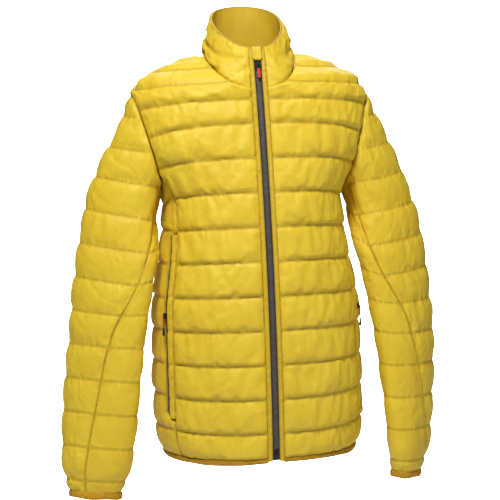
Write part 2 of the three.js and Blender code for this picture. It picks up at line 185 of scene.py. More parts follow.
def refine(grid: Array) -> Array:
    """A grid with a new row and column between every two, by the four-point cubic rule.

    Args:
        grid: Rows by columns of values or points.

    Returns:
        The finer grid, which keeps every given place.
    """
    for axis in (0, 1):
        g = np.moveaxis(grid, axis, 0)
        padded = np.concatenate([2 * g[:1] - g[1:2], g, 2 * g[-1:] - g[-2:-1]])
        half = (9 * (padded[1:-2] + padded[2:-1]) - padded[:-3] - padded[3:]) / 16
        out = np.empty((2 * len(g) - 1, *g.shape[1:]))
        out[0::2], out[1::2] = g, half
        grid = np.moveaxis(out, 0, axis)
    return grid


def spaced(stops: list[float], step: float) -> tuple[Array, Array]:
    """Places that hit every stop exactly, about a step apart between them.

    Args:
        stops: The places to hit, in order.
        step: About how far apart the places are.

    Returns:
        The places, and which of them are stops.
    """
    places, marks = [stops[0]], [True]
    for low, high in zip(stops, stops[1:]):
        count = max(int(round(abs(high - low) / step)), 2)
        places += list(np.linspace(low, high, count + 1)[1:])
        marks += [False] * (count - 1) + [True]
    return np.array(places), np.array(marks)


# ---------------------------------------------------------------- the jacket's form


@dataclass(frozen=True)
class ZipArc:
    """The front zip's circular arc in the plane x = 0, bulging forward between two ends."""

    top: tuple[float, float] = (-84.0, -23.0)
    bottom: tuple[float, float] = (-138.0, -630.0)
    bulge: float = 24.0

    @property
    def circle(self) -> tuple[float, float, float]:
        """The circle's middle (y, z) and radius, from the chord and the bulge."""
        dy, dz = self.top[0] - self.bottom[0], self.top[1] - self.bottom[1]
        chord = math.hypot(dy, dz)
        radius = chord**2 / (8 * self.bulge) + self.bulge / 2
        push = (radius - self.bulge) / chord
        y = (self.top[0] + self.bottom[0]) / 2 + dz * push
        z = (self.top[1] + self.bottom[1]) / 2 - dy * push
        return y, z, radius

    def depth(self, z: Array) -> Array:
        """How far forward of the middle plane the arc lies at a height."""
        y0, z0, radius = self.circle
        return np.sqrt(radius**2 - (z - z0) ** 2) - y0

    def point(self, x: Array, z: Array, below: Array) -> Array:
        """A point beside the arc: x across, at the arc's height z, below its surface."""
        y0, z0, radius = self.circle
        turn = np.arcsin((z - z0) / radius)
        reach = radius - below
        return np.stack(np.broadcast_arrays(x, y0 - reach * np.cos(turn), z0 + reach * np.sin(turn)), -1)


@dataclass(frozen=True)
class BodyForm:
    """The body's outer surface: superellipse sections whose half width and depths follow the height."""

    zip_arc: ZipArc = ZipArc()
    curve: float = 2.3
    neck_width: float = 70.0
    neck_drop: float = 60.0
    neck_z: float = -4.0
    shoulder: tuple[float, float] = (188.0, -69.0)
    underarm: tuple[float, float] = (145.0, -225.0)
    width_keys: Keys = ((-640, 153), (-620, 162), (-590, 167.5), (-400, 166), (-340, 156), (-280, 147),
                        (-225, 145), (-190, 163), (-150, 181), (-100, 190), (-69, 188), (-48, 172),
                        (-32, 150), (-13, 106), (-4, 70))
    back_keys: Keys = ((-640, 120), (-520, 115), (-400, 108), (-260, 116), (-180, 113), (-120, 103),
                       (-69, 88), (-30, 72), (-4, 58))
    seam_keys: Keys = ((-640, 60), (-400, 60), (-300, 63), (-200, 70), (-180, 72))

    def width(self, z: Array) -> Array:
        """Half the body's width at a height."""
        return along(self.width_keys, z)

    def front(self, z: Array) -> Array:
        """The front's depth: a slope down from the shoulder that rounds over into the zip's arc."""
        slope = 8 + (self.neck_z - z) * 1.85
        arc = self.zip_arc.depth(z)
        share = np.clip(0.5 + (arc - slope) / 52, 0, 1)
        return mix(arc, slope, share) - 26 * share * (1 - share)

    def depth(self, z: Array, back: Array) -> Array:
        """The depth of the front or the back at a height."""
        return np.where(back, along(self.back_keys, z), self.front(z))

    @property
    def armhole_side(self) -> Array:
        """The armhole plane's normal, away from the body."""
        (x0, z0), (x1, z1) = self.shoulder, self.underarm
        return unit(np.array([z0 - z1, 0.0, x1 - x0]))

    def past_armhole(self, point: Array) -> Array:
        """How far a point lies outside the armhole's plane."""
        top = np.array([self.shoulder[0], 0, self.shoulder[1]])
        return (point - top) @ self.armhole_side

    def armhole_x(self, z: Array) -> Array:
        """The armhole plane's x at a height."""
        share = (z - self.underarm[1]) / (self.shoulder[1] - self.underarm[1])
        return mix(self.underarm[0], self.shoulder[0], share)

    def angle_of(self, x: Array, z: Array) -> Array:
        """The surface angle at which a section reaches a half width."""
        return np.arcsin(np.minimum(x / self.width(z), 1) ** (self.curve / 2))

    def seam_angle(self, z: Array) -> Array:
        """The angle of the front side seam, 0 being the centre front."""
        return np.radians(along(self.seam_keys, z))

    def panel_end(self, z: Array) -> Array:
        """Where a front panel ends: the side seam, the armhole or the shoulder seam."""
        z = np.asarray(z, float)
        armhole = np.where(z > self.underarm[1], self.angle_of(self.armhole_x(z), z), math.pi / 2)
        seam = np.where(z < self.underarm[1] + PITCH, self.seam_angle(z), armhole)
        return np.where(z >= self.shoulder[1], math.pi / 2, np.minimum(armhole, seam))

    def side_top(self, share: Array) -> Array:
        """The height at which the side panel meets the armhole, found by halving.

        Args:
            share: Places round the panel, from 0 at its front seam to 1 at its back seam.

        Returns:
            The heights there.
        """
        low = np.full(np.shape(share), self.underarm[1] - 1)
        high = low + 1 + PITCH
        for _ in range(30):
            middle = (low + high) / 2
            angle = mix(self.seam_angle(middle), math.pi - self.seam_angle(middle), share)
            wide = self.width(middle) * np.sin(angle) ** (2 / self.curve) > self.armhole_x(middle)
            high, low = np.where(wide, middle, high), np.where(wide, low, middle)
        return low

    def surface(self, z: Array, angle: Array, below: Array) -> Array:
        """A point of the left half: x = W sin^(2/n), y = -+D |cos|^(2/n), moved in along the normal.

        Args:
            z: Heights.
            angle: Surface angles, 0 at the centre front and half a turn at the back.
            below: How far under the outer surface.

        Returns:
            Points, kept inside the armhole's plane.
        """
        z, angle, below = np.broadcast_arrays(z, angle, below)
        back = angle > math.pi / 2
        half, deep = self.width(z), self.depth(z, back)
        sx = np.abs(np.sin(angle)) ** (2 / self.curve)
        sy = np.abs(np.cos(angle)) ** (2 / self.curve)
        n = self.curve
        half_slope = (self.width(z + 1) - self.width(z - 1)) / 2
        deep_slope = (self.depth(z + 1, back) - self.depth(z - 1, back)) / 2
        facing = np.where(back, 1.0, -1.0)
        normal = unit(np.stack([
            sx ** (n - 1) / half,
            facing * sy ** (n - 1) / deep,
            -(sx**n) * half_slope / half - sy**n * deep_slope / deep,
        ], -1))
        point = np.stack([half * sx, facing * deep * sy, z], -1) - normal * below[..., None]
        past = np.where(z > self.underarm[1] - 1, np.maximum(self.past_armhole(point) + 0.2, 0), 0)
        return point - past[..., None] * self.armhole_side


@dataclass(frozen=True)
class CollarForm:
    """The collar: from the neck seam up to a tilted oval."""

    body: BodyForm
    top_width: float = 61.0
    back_y: float = 62.0

    def surface(self, rise: Array, angle: Array, below: Array) -> Array:
        """A point of the left half; angle runs from 0 at the centre front to half a turn at the back.

        Args:
            rise: Shares of the way from the neck seam to the top edge.
            angle: Angles round the collar.
            below: How far under the outer surface.

        Returns:
            The points.
        """
        body = self.body
        back = angle > math.pi / 2
        cos, sin = np.cos(angle), np.sin(angle)
        seam_x = body.neck_width * sin
        seam_z = np.where(back, body.neck_z, body.neck_z - body.neck_drop * cos)
        half = np.where(back, body.neck_width, body.width(seam_z))
        section = np.maximum(1 - (seam_x / half) ** body.curve, 0) ** (1 / body.curve)
        seam_y = body.depth(np.minimum(seam_z, body.neck_z), back) * section
        top_z = 35 - 37 * cos + 9 * sin**2
        top_y = np.where(back, self.back_y, body.zip_arc.depth(top_z)) * np.abs(cos) ** 0.9
        facing = np.where(back, 1.0, -1.0)
        x = mix(seam_x, self.top_width * sin, rise)
        y = mix(seam_y, top_y, rise) * facing
        out = unit(np.stack([x / body.neck_width, y / 85, np.zeros_like(x)], -1))
        return np.stack([x, y, mix(seam_z + 0.6, top_z, rise)], -1) - out * below[..., None]


@dataclass(frozen=True)
class SleeveForm:
    """A sleeve: the armhole's edge eases into turned ovals along the sleeve's line."""

    body: BodyForm
    side: Side
    major: Keys = ((0, 74), (0.3, 69), (0.55, 66), (0.8, 62), (0.93, 56), (1, 43))
    minor: Keys = ((0, 46), (0.3, 36), (0.55, 33), (0.8, 31), (0.93, 30), (1, 24))
    front_keys: Keys = ((0, 146), (0.35, 146), (0.55, 110), (0.75, 92), (1, 70))
    back_keys: Keys = ((0, 214), (0.35, 214), (0.75, 225), (1, 235))

    @property
    def stations(self) -> Array:
        """The points of the sleeve's middle line, for the left half."""
        if self.side is Side.RIGHT:
            return np.array([[166.5, 0, -147], [194, -10, -225], [220, -24, -315], [241, -31, -430],
                             [255, -34, -540], [266, -36, -635], [270, -36, -684]], float)
        return np.array([[166.5, 0, -147], [193, -10, -225], [218, -24, -315], [235, -31, -430],
                         [241, -34, -540], [240, -36, -635], [235, -36, -684]], float)

    @property
    def turn_keys(self) -> Keys:
        """How far the oval's long way is turned, in degrees, along the sleeve."""
        if self.side is Side.RIGHT:
            return ((0, 18), (0.4, 30), (0.7, 28), (1, 15))
        return ((0, 18), (0.4, 30), (0.7, 40), (1, 58))

    def line(self) -> tuple[Array, Array, Array]:
        """The middle line as a centripetal spline.

        Returns:
            Shares of the length, and the points and unit tangents there.
        """
        p = self.stations
        p = np.vstack([2 * p[0] - p[1], p, 2 * p[-1] - p[-2]])
        t = np.linspace(0, 1, 200, endpoint=False)[:, None]
        pieces = []
        for a, b, c, d in zip(p, p[1:], p[2:], p[3:]):
            ab, bc, cd = (np.linalg.norm(v) ** 0.5 for v in (b - a, c - b, d - c))
            start = ((b - a) / ab - (c - a) / (ab + bc) + (c - b) / bc) * bc
            end = ((c - b) / bc - (d - b) / (bc + cd) + (d - c) / cd) * bc
            cubic = (-3 * b + 3 * c - 2 * start - end) * t**2 + (2 * b - 2 * c + start + end) * t**3
            pieces.append(b + start * t + cubic)
        points = np.vstack([*pieces, p[-2:-1]])
        length = np.r_[0, np.cumsum(np.linalg.norm(np.diff(points, axis=0), axis=1))]
        share = length / length[-1]
        return share, points, unit(np.gradient(points, share, axis=0))

    def armhole(self, angle: Array) -> Array:
        """The armhole's edge on the body, angle 0 at the shoulder, a quarter turn at the front.

        Args:
            angle: Angles round the armhole.

        Returns:
            Points of its edge.
        """
        body = self.body
        z = mix(body.underarm[1], body.shoulder[1], (1 + np.cos(angle)) / 2)
        back = np.sin(angle) < 0
        x = body.armhole_x(z)
        y = body.depth(z, back) * np.maximum(1 - (x / body.width(z)) ** body.curve, 0) ** (1 / body.curve)
        return np.stack([x, np.where(back, y, -y), z], -1)

    def surface(self, share: Array, angle: Array, below: Array) -> Array:
        """A point of the sleeve on the left half: centre + A cos(angle) major + B sin(angle) minor.

        Args:
            share: Shares of the sleeve's length.
            angle: Angles round it.
            below: How far under the outer surface.

        Returns:
            Points, kept outside the armhole's plane.
        """
        share, angle, below = np.broadcast_arrays(share, angle, below)
        at, points, tangents = self.line()
        centre = np.stack([np.interp(share, at, points[:, k]) for k in range(3)], -1)
        tangent = np.stack([np.interp(share, at, tangents[:, k]) for k in range(3)], -1)
        out = unit(np.stack([-tangent[..., 2], np.zeros_like(share), tangent[..., 0]], -1))
        turn = np.radians(along(self.turn_keys, share))[..., None]
        back = np.array([0.0, 1.0, 0.0])
        major = out * np.cos(turn) + back * np.sin(turn)
        minor = out * np.sin(turn) - back * np.cos(turn)
        a = (along(self.major, share) * np.cos(angle))[..., None]
        b = (along(self.minor, share) * np.sin(angle))[..., None]
        oval = centre + a * major + b * minor
        head = self.armhole(angle) + centre - points[0]
        eased = mix(smoothstep(share, 0, 0.34), smoothstep(share, 0, 0.2), (1 + np.cos(angle)) / 2)
        point = mix(head, oval, eased[..., None])
        point = point - unit(point - centre) * below[..., None]
        short = np.minimum(self.body.past_armhole(point) - 0.4, 0)
        return point - short[..., None] * self.body.armhole_side


# ---------------------------------------------------------------- meshes


@dataclass
class Skin:
    """A grid of fabric: its points, how it lies and what is sewn."""

    name: str
    base: Array
    normal: Array
    uv: Array
    seam: Array
    sewn: Array
    growth: float
    points: Array | None = None


def quads(a: Array, b: Array, c: Array, d: Array) -> Array:
    """Four equal arrays of vertex numbers as a list of quads."""
    return np.stack([a, b, c, d], -1).reshape(-1, 4)


def grid_faces(index: Array) -> Array:
    """The quads of a grid of vertex numbers."""
    return quads(index[:-1, :-1], index[:-1, 1:], index[1:, 1:], index[1:, :-1])


def mesh_object(name: str, points: Array, faces: Array, sharp: float = 50.0) -> bpy.types.Object:
    """A mesh in metres from millimetre points, with its faces pointing out and its hard edges marked.

    Args:
        name: The piece's name.
        points: Vertices in millimetres.
        faces: Rows of vertex numbers.
        sharp: Edges that turn by more degrees than this stay hard.

    Returns:
        The linked object.
    """
    points = np.asarray(points, float).reshape(-1, 3)
    a, b, c = (points[faces[:, k]] for k in (0, 1, 2))
    volume = np.einsum("ij,ij->", a, np.cross(b, c))
    if faces.shape[1] == 4:
        volume += np.einsum("ij,ij->", a, np.cross(c, points[faces[:, 3]]))
    faces = faces if volume > 0 else faces[:, ::-1]
    mesh = bpy.data.meshes.new(name)
    mesh.from_pydata((points * MM).tolist(), [], faces.tolist())
    mesh.polygons.foreach_set("use_smooth", np.ones(len(faces), bool))
    mesh.set_sharp_from_angle(angle=math.radians(sharp))
    mesh.update()
    thing = bpy.data.objects.new(f"{name}_piece", mesh)
    bpy.context.scene.collection.objects.link(thing)
    return thing


def give_pattern(thing: bpy.types.Object, uv: Array, seam: Array) -> None:
    """Writes a UV map in metres and the distance to the nearest stitched line, in millimetres.

    Args:
        thing: The meshed piece.
        uv: Cloth coordinates of its vertices in millimetres.
        seam: Distance of each vertex to the nearest stitched line.
    """
    mesh = thing.data
    corner = np.zeros(len(mesh.loops), int)
    mesh.loops.foreach_get("vertex_index", corner)
    layer = mesh.uv_layers.new(name="cloth")
    layer.data.foreach_set("uv", (uv.reshape(-1, 2)[corner] * MM).astype(np.float32).ravel())
    attribute = mesh.attributes.new("seam", "FLOAT", "POINT")
    attribute.data.foreach_set("value", seam.ravel().astype(np.float32))


def wall(name: str, outer: Array, inner: Array, uv: Array | None = None, seam: Array | None = None,
         ring: bool = False, sharp: float = 50.0) -> bpy.types.Object:
    """A closed wall between two grids; a ring joins its last column to its first.

    Args:
        name: The piece's name.
        outer: The outer grid, rows by columns by 3.
        inner: The inner grid, the same shape.
        uv: Cloth coordinates of the outer grid in millimetres.
        seam: Distance of each outer point to the nearest stitched line.
        ring: Whether the columns close on themselves.
        sharp: Edges that turn by more degrees than this stay hard.

    Returns:
        The linked object.
    """
    rows, columns = outer.shape[:2]
    index = np.arange(2 * rows * columns).reshape(2, rows, columns)
    if ring:
        index = np.concatenate([index, index[:, :, :1]], axis=2)
    o, i = index
    faces = [grid_faces(o), grid_faces(i)[:, ::-1],
             quads(o[0, :-1], i[0, :-1], i[0, 1:], o[0, 1:]),
             quads(o[-1, :-1], o[-1, 1:], i[-1, 1:], i[-1, :-1])]
    if not ring:
        faces += [quads(o[:-1, 0], o[1:, 0], i[1:, 0], i[:-1, 0]),
                  quads(o[:-1, -1], i[:-1, -1], i[1:, -1], o[1:, -1])]
    thing = mesh_object(name, np.concatenate([outer.reshape(-1, 3), inner.reshape(-1, 3)]),
                        np.concatenate(faces), sharp)
    uv = np.zeros((rows, columns, 2)) if uv is None else uv
    seam = np.full((rows, columns), 30.0) if seam is None else seam
    give_pattern(thing, np.concatenate([uv, uv]), np.concatenate([seam, seam]))
    return thing


def tube(name: str, path: Array, rings: Array, frame_x: Array, frame_y: Array,
         sharp: float = 50.0) -> bpy.types.Object:
    """A closed tube: at each path point a ring of (x, y) offsets, with a pole at each end.

    Args:
        name: The piece's name.
        path: Points along the middle.
        rings: Offsets, path by around by 2.
        frame_x: The direction of an offset's x at each path point.
        frame_y: The direction of its y.
        sharp: Edges that turn by more degrees than this stay hard.

    Returns:
        The linked object.
    """
    body = (path[:, None] + rings[..., :1] * frame_x[:, None] + rings[..., 1:] * frame_y[:, None])
    count, around = body.shape[:2]
    index = np.arange(count * around).reshape(count, around)
    index = np.concatenate([index, index[:, :1]], axis=1)
    first, last = count * around, count * around + 1
    fan = np.arange(around)
    caps = np.concatenate([
        np.stack([np.full(around, first), index[0, fan + 1], index[0, fan], index[0, fan]], -1),
        np.stack([np.full(around, last), index[-1, fan], index[-1, fan + 1], index[-1, fan + 1]], -1)])
    points = np.concatenate([body.reshape(-1, 3), path[:1], path[-1:]])
    faces = [*grid_faces(index).tolist(), *caps[:, :3].tolist()]
    a = np.array([[points[f[0]], points[f[1]], points[f[2]]] for f in faces[:: max(len(faces) // 400, 1)]])
    middle = points.mean(0)
    facing = np.einsum("ij,ij->", a.mean(1) - middle, np.cross(a[:, 1] - a[:, 0], a[:, 2] - a[:, 0]))
    if facing < 0:
        faces = [face[::-1] for face in faces]
    mesh = bpy.data.meshes.new(name)
    mesh.from_pydata((points * MM).tolist(), [], faces)
    mesh.polygons.foreach_set("use_smooth", np.ones(len(faces), bool))
    mesh.set_sharp_from_angle(angle=math.radians(sharp))
    mesh.uv_layers.new(name="cloth")
    thing = bpy.data.objects.new(f"{name}_piece", mesh)
    bpy.context.scene.collection.objects.link(thing)
    return thing


# ---------------------------------------------------------------- finishes


@dataclass
class NodeTree:
    """A short hand for building a node tree."""

    tree: bpy.types.NodeTree

    def add(self, kind: str, inputs: dict | None = None, **settings: object) -> bpy.types.Node:
        """Adds a node, sets its properties, and sets or links its inputs.

        Args:
            kind: The node's type.
            inputs: Values or sockets for its inputs, by name or number.
            settings: Values of its properties.

        Returns:
            The node.
        """
        node = self.tree.nodes.new(kind)
        for key, value in settings.items():
            setattr(node, key, value)
        for key, value in (inputs or {}).items():
            if isinstance(value, bpy.types.NodeSocket):
                self.tree.links.new(value, node.inputs[key])
            else:
                node.inputs[key].default_value = value
        return node

    def math(self, operation: str, a: object, b: object = 0.0) -> bpy.types.NodeSocket:
        """The output of a Math node on two numbers or sockets."""
        return self.add("ShaderNodeMath", {0: a, 1: b}, operation=operation).outputs[0]

    def blend(self, share: object, a: object, b: object) -> bpy.types.NodeSocket:
        """The output of a colour Mix node."""
        node = self.add("ShaderNodeMix", data_type="RGBA")
        for key, value in ((0, share), (6, a), (7, b)):
            if isinstance(value, bpy.types.NodeSocket):
                self.tree.links.new(value, node.inputs[key])
            else:
                node.inputs[key].default_value = value
        return node.outputs[2]


def new_group(name: str, inputs: dict[str, float], outputs: tuple[str, ...]) -> tuple[NodeTree, dict, object]:
    """An empty shader node group with float inputs and outputs.

    Args:
        name: The group's name.
        inputs: Its inputs.
        outputs: Its outputs.

    Returns:
        The tree, its input sockets by name, and its output node.
    """
    tree = bpy.data.node_groups.new(name, "ShaderNodeTree")
    for key, value in inputs.items():
        socket = tree.interface.new_socket(name=key, in_out="INPUT", socket_type="NodeSocketFloat")
        socket.default_value = value
    for key in outputs:
        tree.interface.new_socket(name=key, in_out="OUTPUT", socket_type="NodeSocketFloat")
    nodes = NodeTree(tree)
    start = nodes.add("NodeGroupInput")
    return nodes, {key: start.outputs[key] for key in inputs}, nodes.add("NodeGroupOutput")


class SharedEffects:
    """The effects that several fabrics use, each built once as a node group."""

    def __init__(self) -> None:
        """Builds the groups."""
        self.weave = self._weave()
        self.sewing = self._sewing()

    @staticmethod
    def _weave() -> bpy.types.NodeTree:
        """Threads that cross: two bands of waves on the cloth's own coordinates, and a blotch mask."""
        nodes, given, end = new_group("weave", {"Threads": 1400.0, "Blotch": 12.0}, ("Height", "Cloud"))
        uv = nodes.add("ShaderNodeUVMap", uv_map="cloth").outputs[0]
        split = nodes.add("ShaderNodeSeparateXYZ", {0: uv})
        waves = [nodes.math("SINE", nodes.math("MULTIPLY", axis, given["Threads"])) for axis in split.outputs[:2]]
        height = nodes.math("MULTIPLY", waves[0], waves[1])
        nodes.tree.links.new(height, end.inputs["Height"])
        place = nodes.add("ShaderNodeTexCoord").outputs["Object"]
        cloud = nodes.add("ShaderNodeTexNoise", {"Vector": place, "Scale": given["Blotch"], "Detail": 4.0})
        nodes.tree.links.new(cloud.outputs[0], end.inputs["Cloud"])
        return nodes.tree

    @staticmethod
    def _sewing() -> bpy.types.NodeTree:
        """Puckers that fade away from a stitched line, a mask of painted shade along it, and the stitches' dashes on
        it.
        """
        nodes, given, end = new_group(
            "sewing", {"Pucker": 170.0, "Reach": 11.0, "Stitch": 2400.0},
            ("Pucker", "SeamShade", "Stitch"))
        near = nodes.add("ShaderNodeAttribute", attribute_name="seam").outputs["Fac"]
        fade = nodes.math("POWER", 2.718, nodes.math("DIVIDE", nodes.math("MULTIPLY", near, -1.0), given["Reach"]))
        uv = nodes.add("ShaderNodeUVMap", uv_map="cloth").outputs[0]
        stretch = nodes.add("ShaderNodeMapping", {0: uv, "Scale": (1.0, 0.22, 1.0)}).outputs[0]
        noise = nodes.add("ShaderNodeTexNoise", {"Vector": stretch, "Scale": given["Pucker"], "Detail": 3.0})
        nodes.tree.links.new(nodes.math("MULTIPLY", noise.outputs[0], fade), end.inputs["Pucker"])
        # Painted shade: 1 on the stitched line and 0 from 2.6 mm away, used to darken the colour where shadow falls
        # in the seam creases.
        crease = nodes.math("SUBTRACT", 1.0, nodes.math("MINIMUM", nodes.math("DIVIDE", near, 2.6), 1.0))
        nodes.tree.links.new(crease, end.inputs["SeamShade"])
        across = nodes.add("ShaderNodeSeparateXYZ", {0: uv}).outputs[0]
        dash = nodes.math("GREATER_THAN", nodes.math("SINE", nodes.math("MULTIPLY", across, given["Stitch"])), -0.3)
        on_line = nodes.math("LESS_THAN", near, 0.45)
        nodes.tree.links.new(nodes.math("MULTIPLY", dash, on_line), end.inputs["Stitch"])
        return nodes.tree


@dataclass(frozen=True)
class Fabric:
    """A woven finish: its colours, painted shade along its seam creases, gloss, thread count and puckers."""

    name: str
    colour: tuple[float, float, float]
    shade: tuple[float, float, float]
    roughness: float
    threads: float
    pucker: float
    sheen: float = 0.15
    weave: float = 0.04
    ribs: float = 0.0

    def build(self, shared: SharedEffects) -> bpy.types.Material:
        """The Blender material.

        Args:
            shared: The node groups.

        Returns:
            The material.
        """
        material, nodes, shader = new_material(self.name)
        weave = nodes.add("ShaderNodeGroup", node_tree=shared.weave)
        weave.inputs["Threads"].default_value = self.threads
        sewing = nodes.add("ShaderNodeGroup", node_tree=shared.sewing)
        cloud = nodes.add("ShaderNodeMapRange", {0: weave.outputs["Cloud"], 1: 0.35, 2: 0.7, 3: 0.0, 4: 0.35})
        base = nodes.blend(cloud.outputs[0], (*self.colour, 1), (*self.shade, 1))
        # Painted shade: near the sewn lines the colour is mixed towards a darker copy of the shade colour, standing
        # in for the shadow in the seam creases.
        fold = tuple(value * 0.62 for value in self.shade)
        seam_shaded = nodes.blend(nodes.math("MULTIPLY", sewing.outputs["SeamShade"], 0.8), base, (*fold, 1))
        thread = tuple(min(1.0, 1.1 * value) for value in self.colour)
        sewn = nodes.blend(nodes.math("MULTIPLY", sewing.outputs["Stitch"], 0.6), seam_shaded, (*thread, 1))
        nodes.tree.links.new(sewn, shader.inputs["Base Color"])
        rough = nodes.add("ShaderNodeMapRange", {0: weave.outputs["Cloud"], 1: 0.3, 2: 0.7,
                                                 3: self.roughness - 0.05, 4: self.roughness + 0.08})
        nodes.tree.links.new(rough.outputs[0], shader.inputs["Roughness"])
        shader.inputs["Sheen Weight"].default_value = self.sheen
        shader.inputs["Sheen Roughness"].default_value = 0.4
        shader.inputs["Specular IOR Level"].default_value = 0.34
        height = nodes.math("ADD", nodes.math("MULTIPLY", sewing.outputs["Pucker"], self.pucker),
                            nodes.math("MULTIPLY", weave.outputs["Height"], self.weave))
        if self.ribs:
            uv = nodes.add("ShaderNodeUVMap", uv_map="cloth").outputs[0]
            across = nodes.add("ShaderNodeSeparateXYZ", {0: uv}).outputs[0]
            rib = nodes.math("SINE", nodes.math("MULTIPLY", across, self.ribs))
            height = nodes.math("ADD", height, nodes.math("MULTIPLY", rib, 0.3))
        place = nodes.add("ShaderNodeTexCoord").outputs["Object"]
        crinkle = nodes.add("ShaderNodeTexNoise", {"Vector": place, "Scale": 75.0, "Detail": 3.0, "Distortion": 0.6})
        height = nodes.math("ADD", height, nodes.math("MULTIPLY", crinkle.outputs[0], self.pucker * 0.45))
        bump = nodes.add("ShaderNodeBump", {"Height": height, "Strength": 0.7, "Distance": 0.0032})
        nodes.tree.links.new(bump.outputs[0], shader.inputs["Normal"])
        return material


@dataclass(frozen=True)
class Moulded:
    """A moulded finish: plastic or rubber with a fine grain and faint blotches."""

    name: str
    colour: tuple[float, float, float]
    roughness: float
    metallic: float = 0.0

    def build(self) -> bpy.types.Material:
        """The Blender material."""
        material, nodes, shader = new_material(self.name)
        place = nodes.add("ShaderNodeTexCoord").outputs["Object"]
        grain = nodes.add("ShaderNodeTexNoise", {"Vector": place, "Scale": 1800.0, "Detail": 3.0})
        smear = nodes.add("ShaderNodeTexNoise", {"Vector": place, "Scale": 140.0, "Detail": 4.0})
        pale = tuple(min(1.0, value * 1.6 + 0.01) for value in self.colour)
        colour = nodes.blend(nodes.math("MULTIPLY", smear.outputs[0], 0.4), (*self.colour, 1), (*pale, 1))
        nodes.tree.links.new(colour, shader.inputs["Base Color"])
        rough = nodes.add("ShaderNodeMapRange", {0: smear.outputs[0], 1: 0.3, 2: 0.7,
                                                 3: self.roughness - 0.06, 4: self.roughness + 0.1})
        nodes.tree.links.new(rough.outputs[0], shader.inputs["Roughness"])
        shader.inputs["Metallic"].default_value = self.metallic
        bump = nodes.add("ShaderNodeBump", {"Height": grain.outputs[0], "Strength": 0.15, "Distance": 0.0002})
        nodes.tree.links.new(bump.outputs[0], shader.inputs["Normal"])
        return material


def new_material(name: str) -> tuple[bpy.types.Material, NodeTree, bpy.types.Node]:
    """A new material with its node tree and its Principled shader."""
    material = bpy.data.materials.new(name)
    material.use_nodes = True
    nodes = NodeTree(material.node_tree)
    return material, nodes, material.node_tree.nodes["Principled BSDF"]


class Wardrobe:
    """Every finish of the jacket, by slot."""

    def __init__(self) -> None:
        """Builds the materials."""
        shared = SharedEffects()
        self.materials = {
            Slot.SHELL: Fabric("yellow_nylon", (0.84, 0.6, 0.035), (0.72, 0.44, 0.012), 0.47, 5200.0, 1.0,
                               0.0, 0.02).build(shared),
            Slot.LINING: Fabric("yellow_lining", (0.74, 0.5, 0.03), (0.6, 0.36, 0.01), 0.5, 5200.0, 0.5,
                                0.0, 0.02).build(shared),
            Slot.BINDING: Fabric("elastic_binding", (0.68, 0.36, 0.012), (0.45, 0.2, 0.005), 0.62, 3000.0, 0.4,
                                 0.0, 0.06, 1900.0).build(shared),
            Slot.TAPE: Fabric("zip_tape", (0.11, 0.085, 0.075), (0.06, 0.048, 0.042), 0.75, 3000.0, 0.2,
                              0.1, 0.1, 3600.0).build(shared),
            Slot.TEETH: Moulded("grey_teeth", (0.13, 0.11, 0.105), 0.4, 0.25).build(),
            Slot.HARDWARE: Moulded("black_hardware", (0.018, 0.017, 0.018), 0.38, 0.2).build(),
            Slot.RED: Moulded("red_rubber", (0.6, 0.03, 0.025), 0.45).build(),
        }

    def dress(self, thing: bpy.types.Object, slot: Slot) -> None:
        """Puts one finish on a piece, in place of any that it had."""
        thing.data.materials.clear()
        thing.data.materials.append(self.materials[slot])


@dataclass
class Workshop:
    """Finishes pieces: their material, the body that they ride on and the solids that they stand for."""

    wardrobe: Wardrobe

    def fit(self, thing: bpy.types.Object, slot: Slot, body: str, node: str) -> bpy.types.Object:
        """Dresses a piece, puts it in place of a solid and lets it ride on a body.

        Args:
            thing: The piece.
            slot: Its material slot.
            body: The body that it rides.
            node: The solid that it stands for.

        Returns:
            The piece.
        """
        self.wardrobe.dress(thing, slot)
        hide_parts(node)
        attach(thing, body)
        LOG.info("%s rides on %s, %d faces", thing.name, body, len(thing.data.polygons))
        return thing

    def bend(self, thing: bpy.types.Object, slot: Slot, side: Side, node: str) -> bpy.types.Object:
        """Dresses a sleeve's fabric, hides the solid that it stands for and bakes its placement into its mesh.

        Args:
            thing: The piece.
            slot: Its material slot.
            side: Which sleeve it belongs to.
            node: The solid that it stands for.

        Returns:
            The piece.
        """
        self.wardrobe.dress(thing, slot)
        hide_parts(node)
        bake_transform(thing)
        LOG.info("%s bends into sleeve_%s, %d faces", thing.name, side.label, len(thing.data.polygons))
        return thing

    def harden(self, node: str, slot: Slot, bevel: float = 0.25) -> None:
        """Gives a hard solid its finish and rounds its edges.

        Args:
            node: The solid to keep.
            slot: Its material slot.
            bevel: The width of the bevel on its edges, in millimetres.
        """
        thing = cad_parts[node]
        self.wardrobe.dress(thing, slot)
        thing.modifiers.new("merge", "WELD").merge_threshold = 1e-5
        round_off = thing.modifiers.new("round", "BEVEL")
        round_off.width = bevel * MM
        round_off.segments = 2
        round_off.limit_method = "ANGLE"
        LOG.info("%s keeps its solid", node)


# ---------------------------------------------------------------- quilted panels


def seam_distance(row_marks: Array, uv: Array) -> Array:
    """The distance in cloth from each point to the nearest sewn row, by the rows' cloth height.

    Args:
        row_marks: Which rows are sewn.
        uv: Cloth coordinates of the grid.

    Returns:
        The distances, at most 30 mm.
    """
    v = uv[..., 1]
    lines = np.flatnonzero(row_marks)
    gap = np.abs(v[:, None, :] - v[lines][None, :, :])
    return np.minimum(gap.min(axis=1), 30.0)


def cloth_uv(points: Array) -> Array:
    """Cloth coordinates of a grid: the mean length along its rows, and the length up its columns.

    Args:
        points: Rows by columns of points.

    Returns:
        The coordinates, with 0 across in the middle of each row.
    """
    across = np.linalg.norm(np.diff(points, axis=1), axis=-1)
    up = np.linalg.norm(np.diff(points, axis=0), axis=-1)
    u = np.concatenate([np.zeros((len(points), 1)), np.cumsum(across, axis=1)], axis=1)
    v = np.concatenate([np.zeros((1, points.shape[1])), np.cumsum(up, axis=0)])
    return np.stack([u - u[:, -1:] / 2, v], -1)


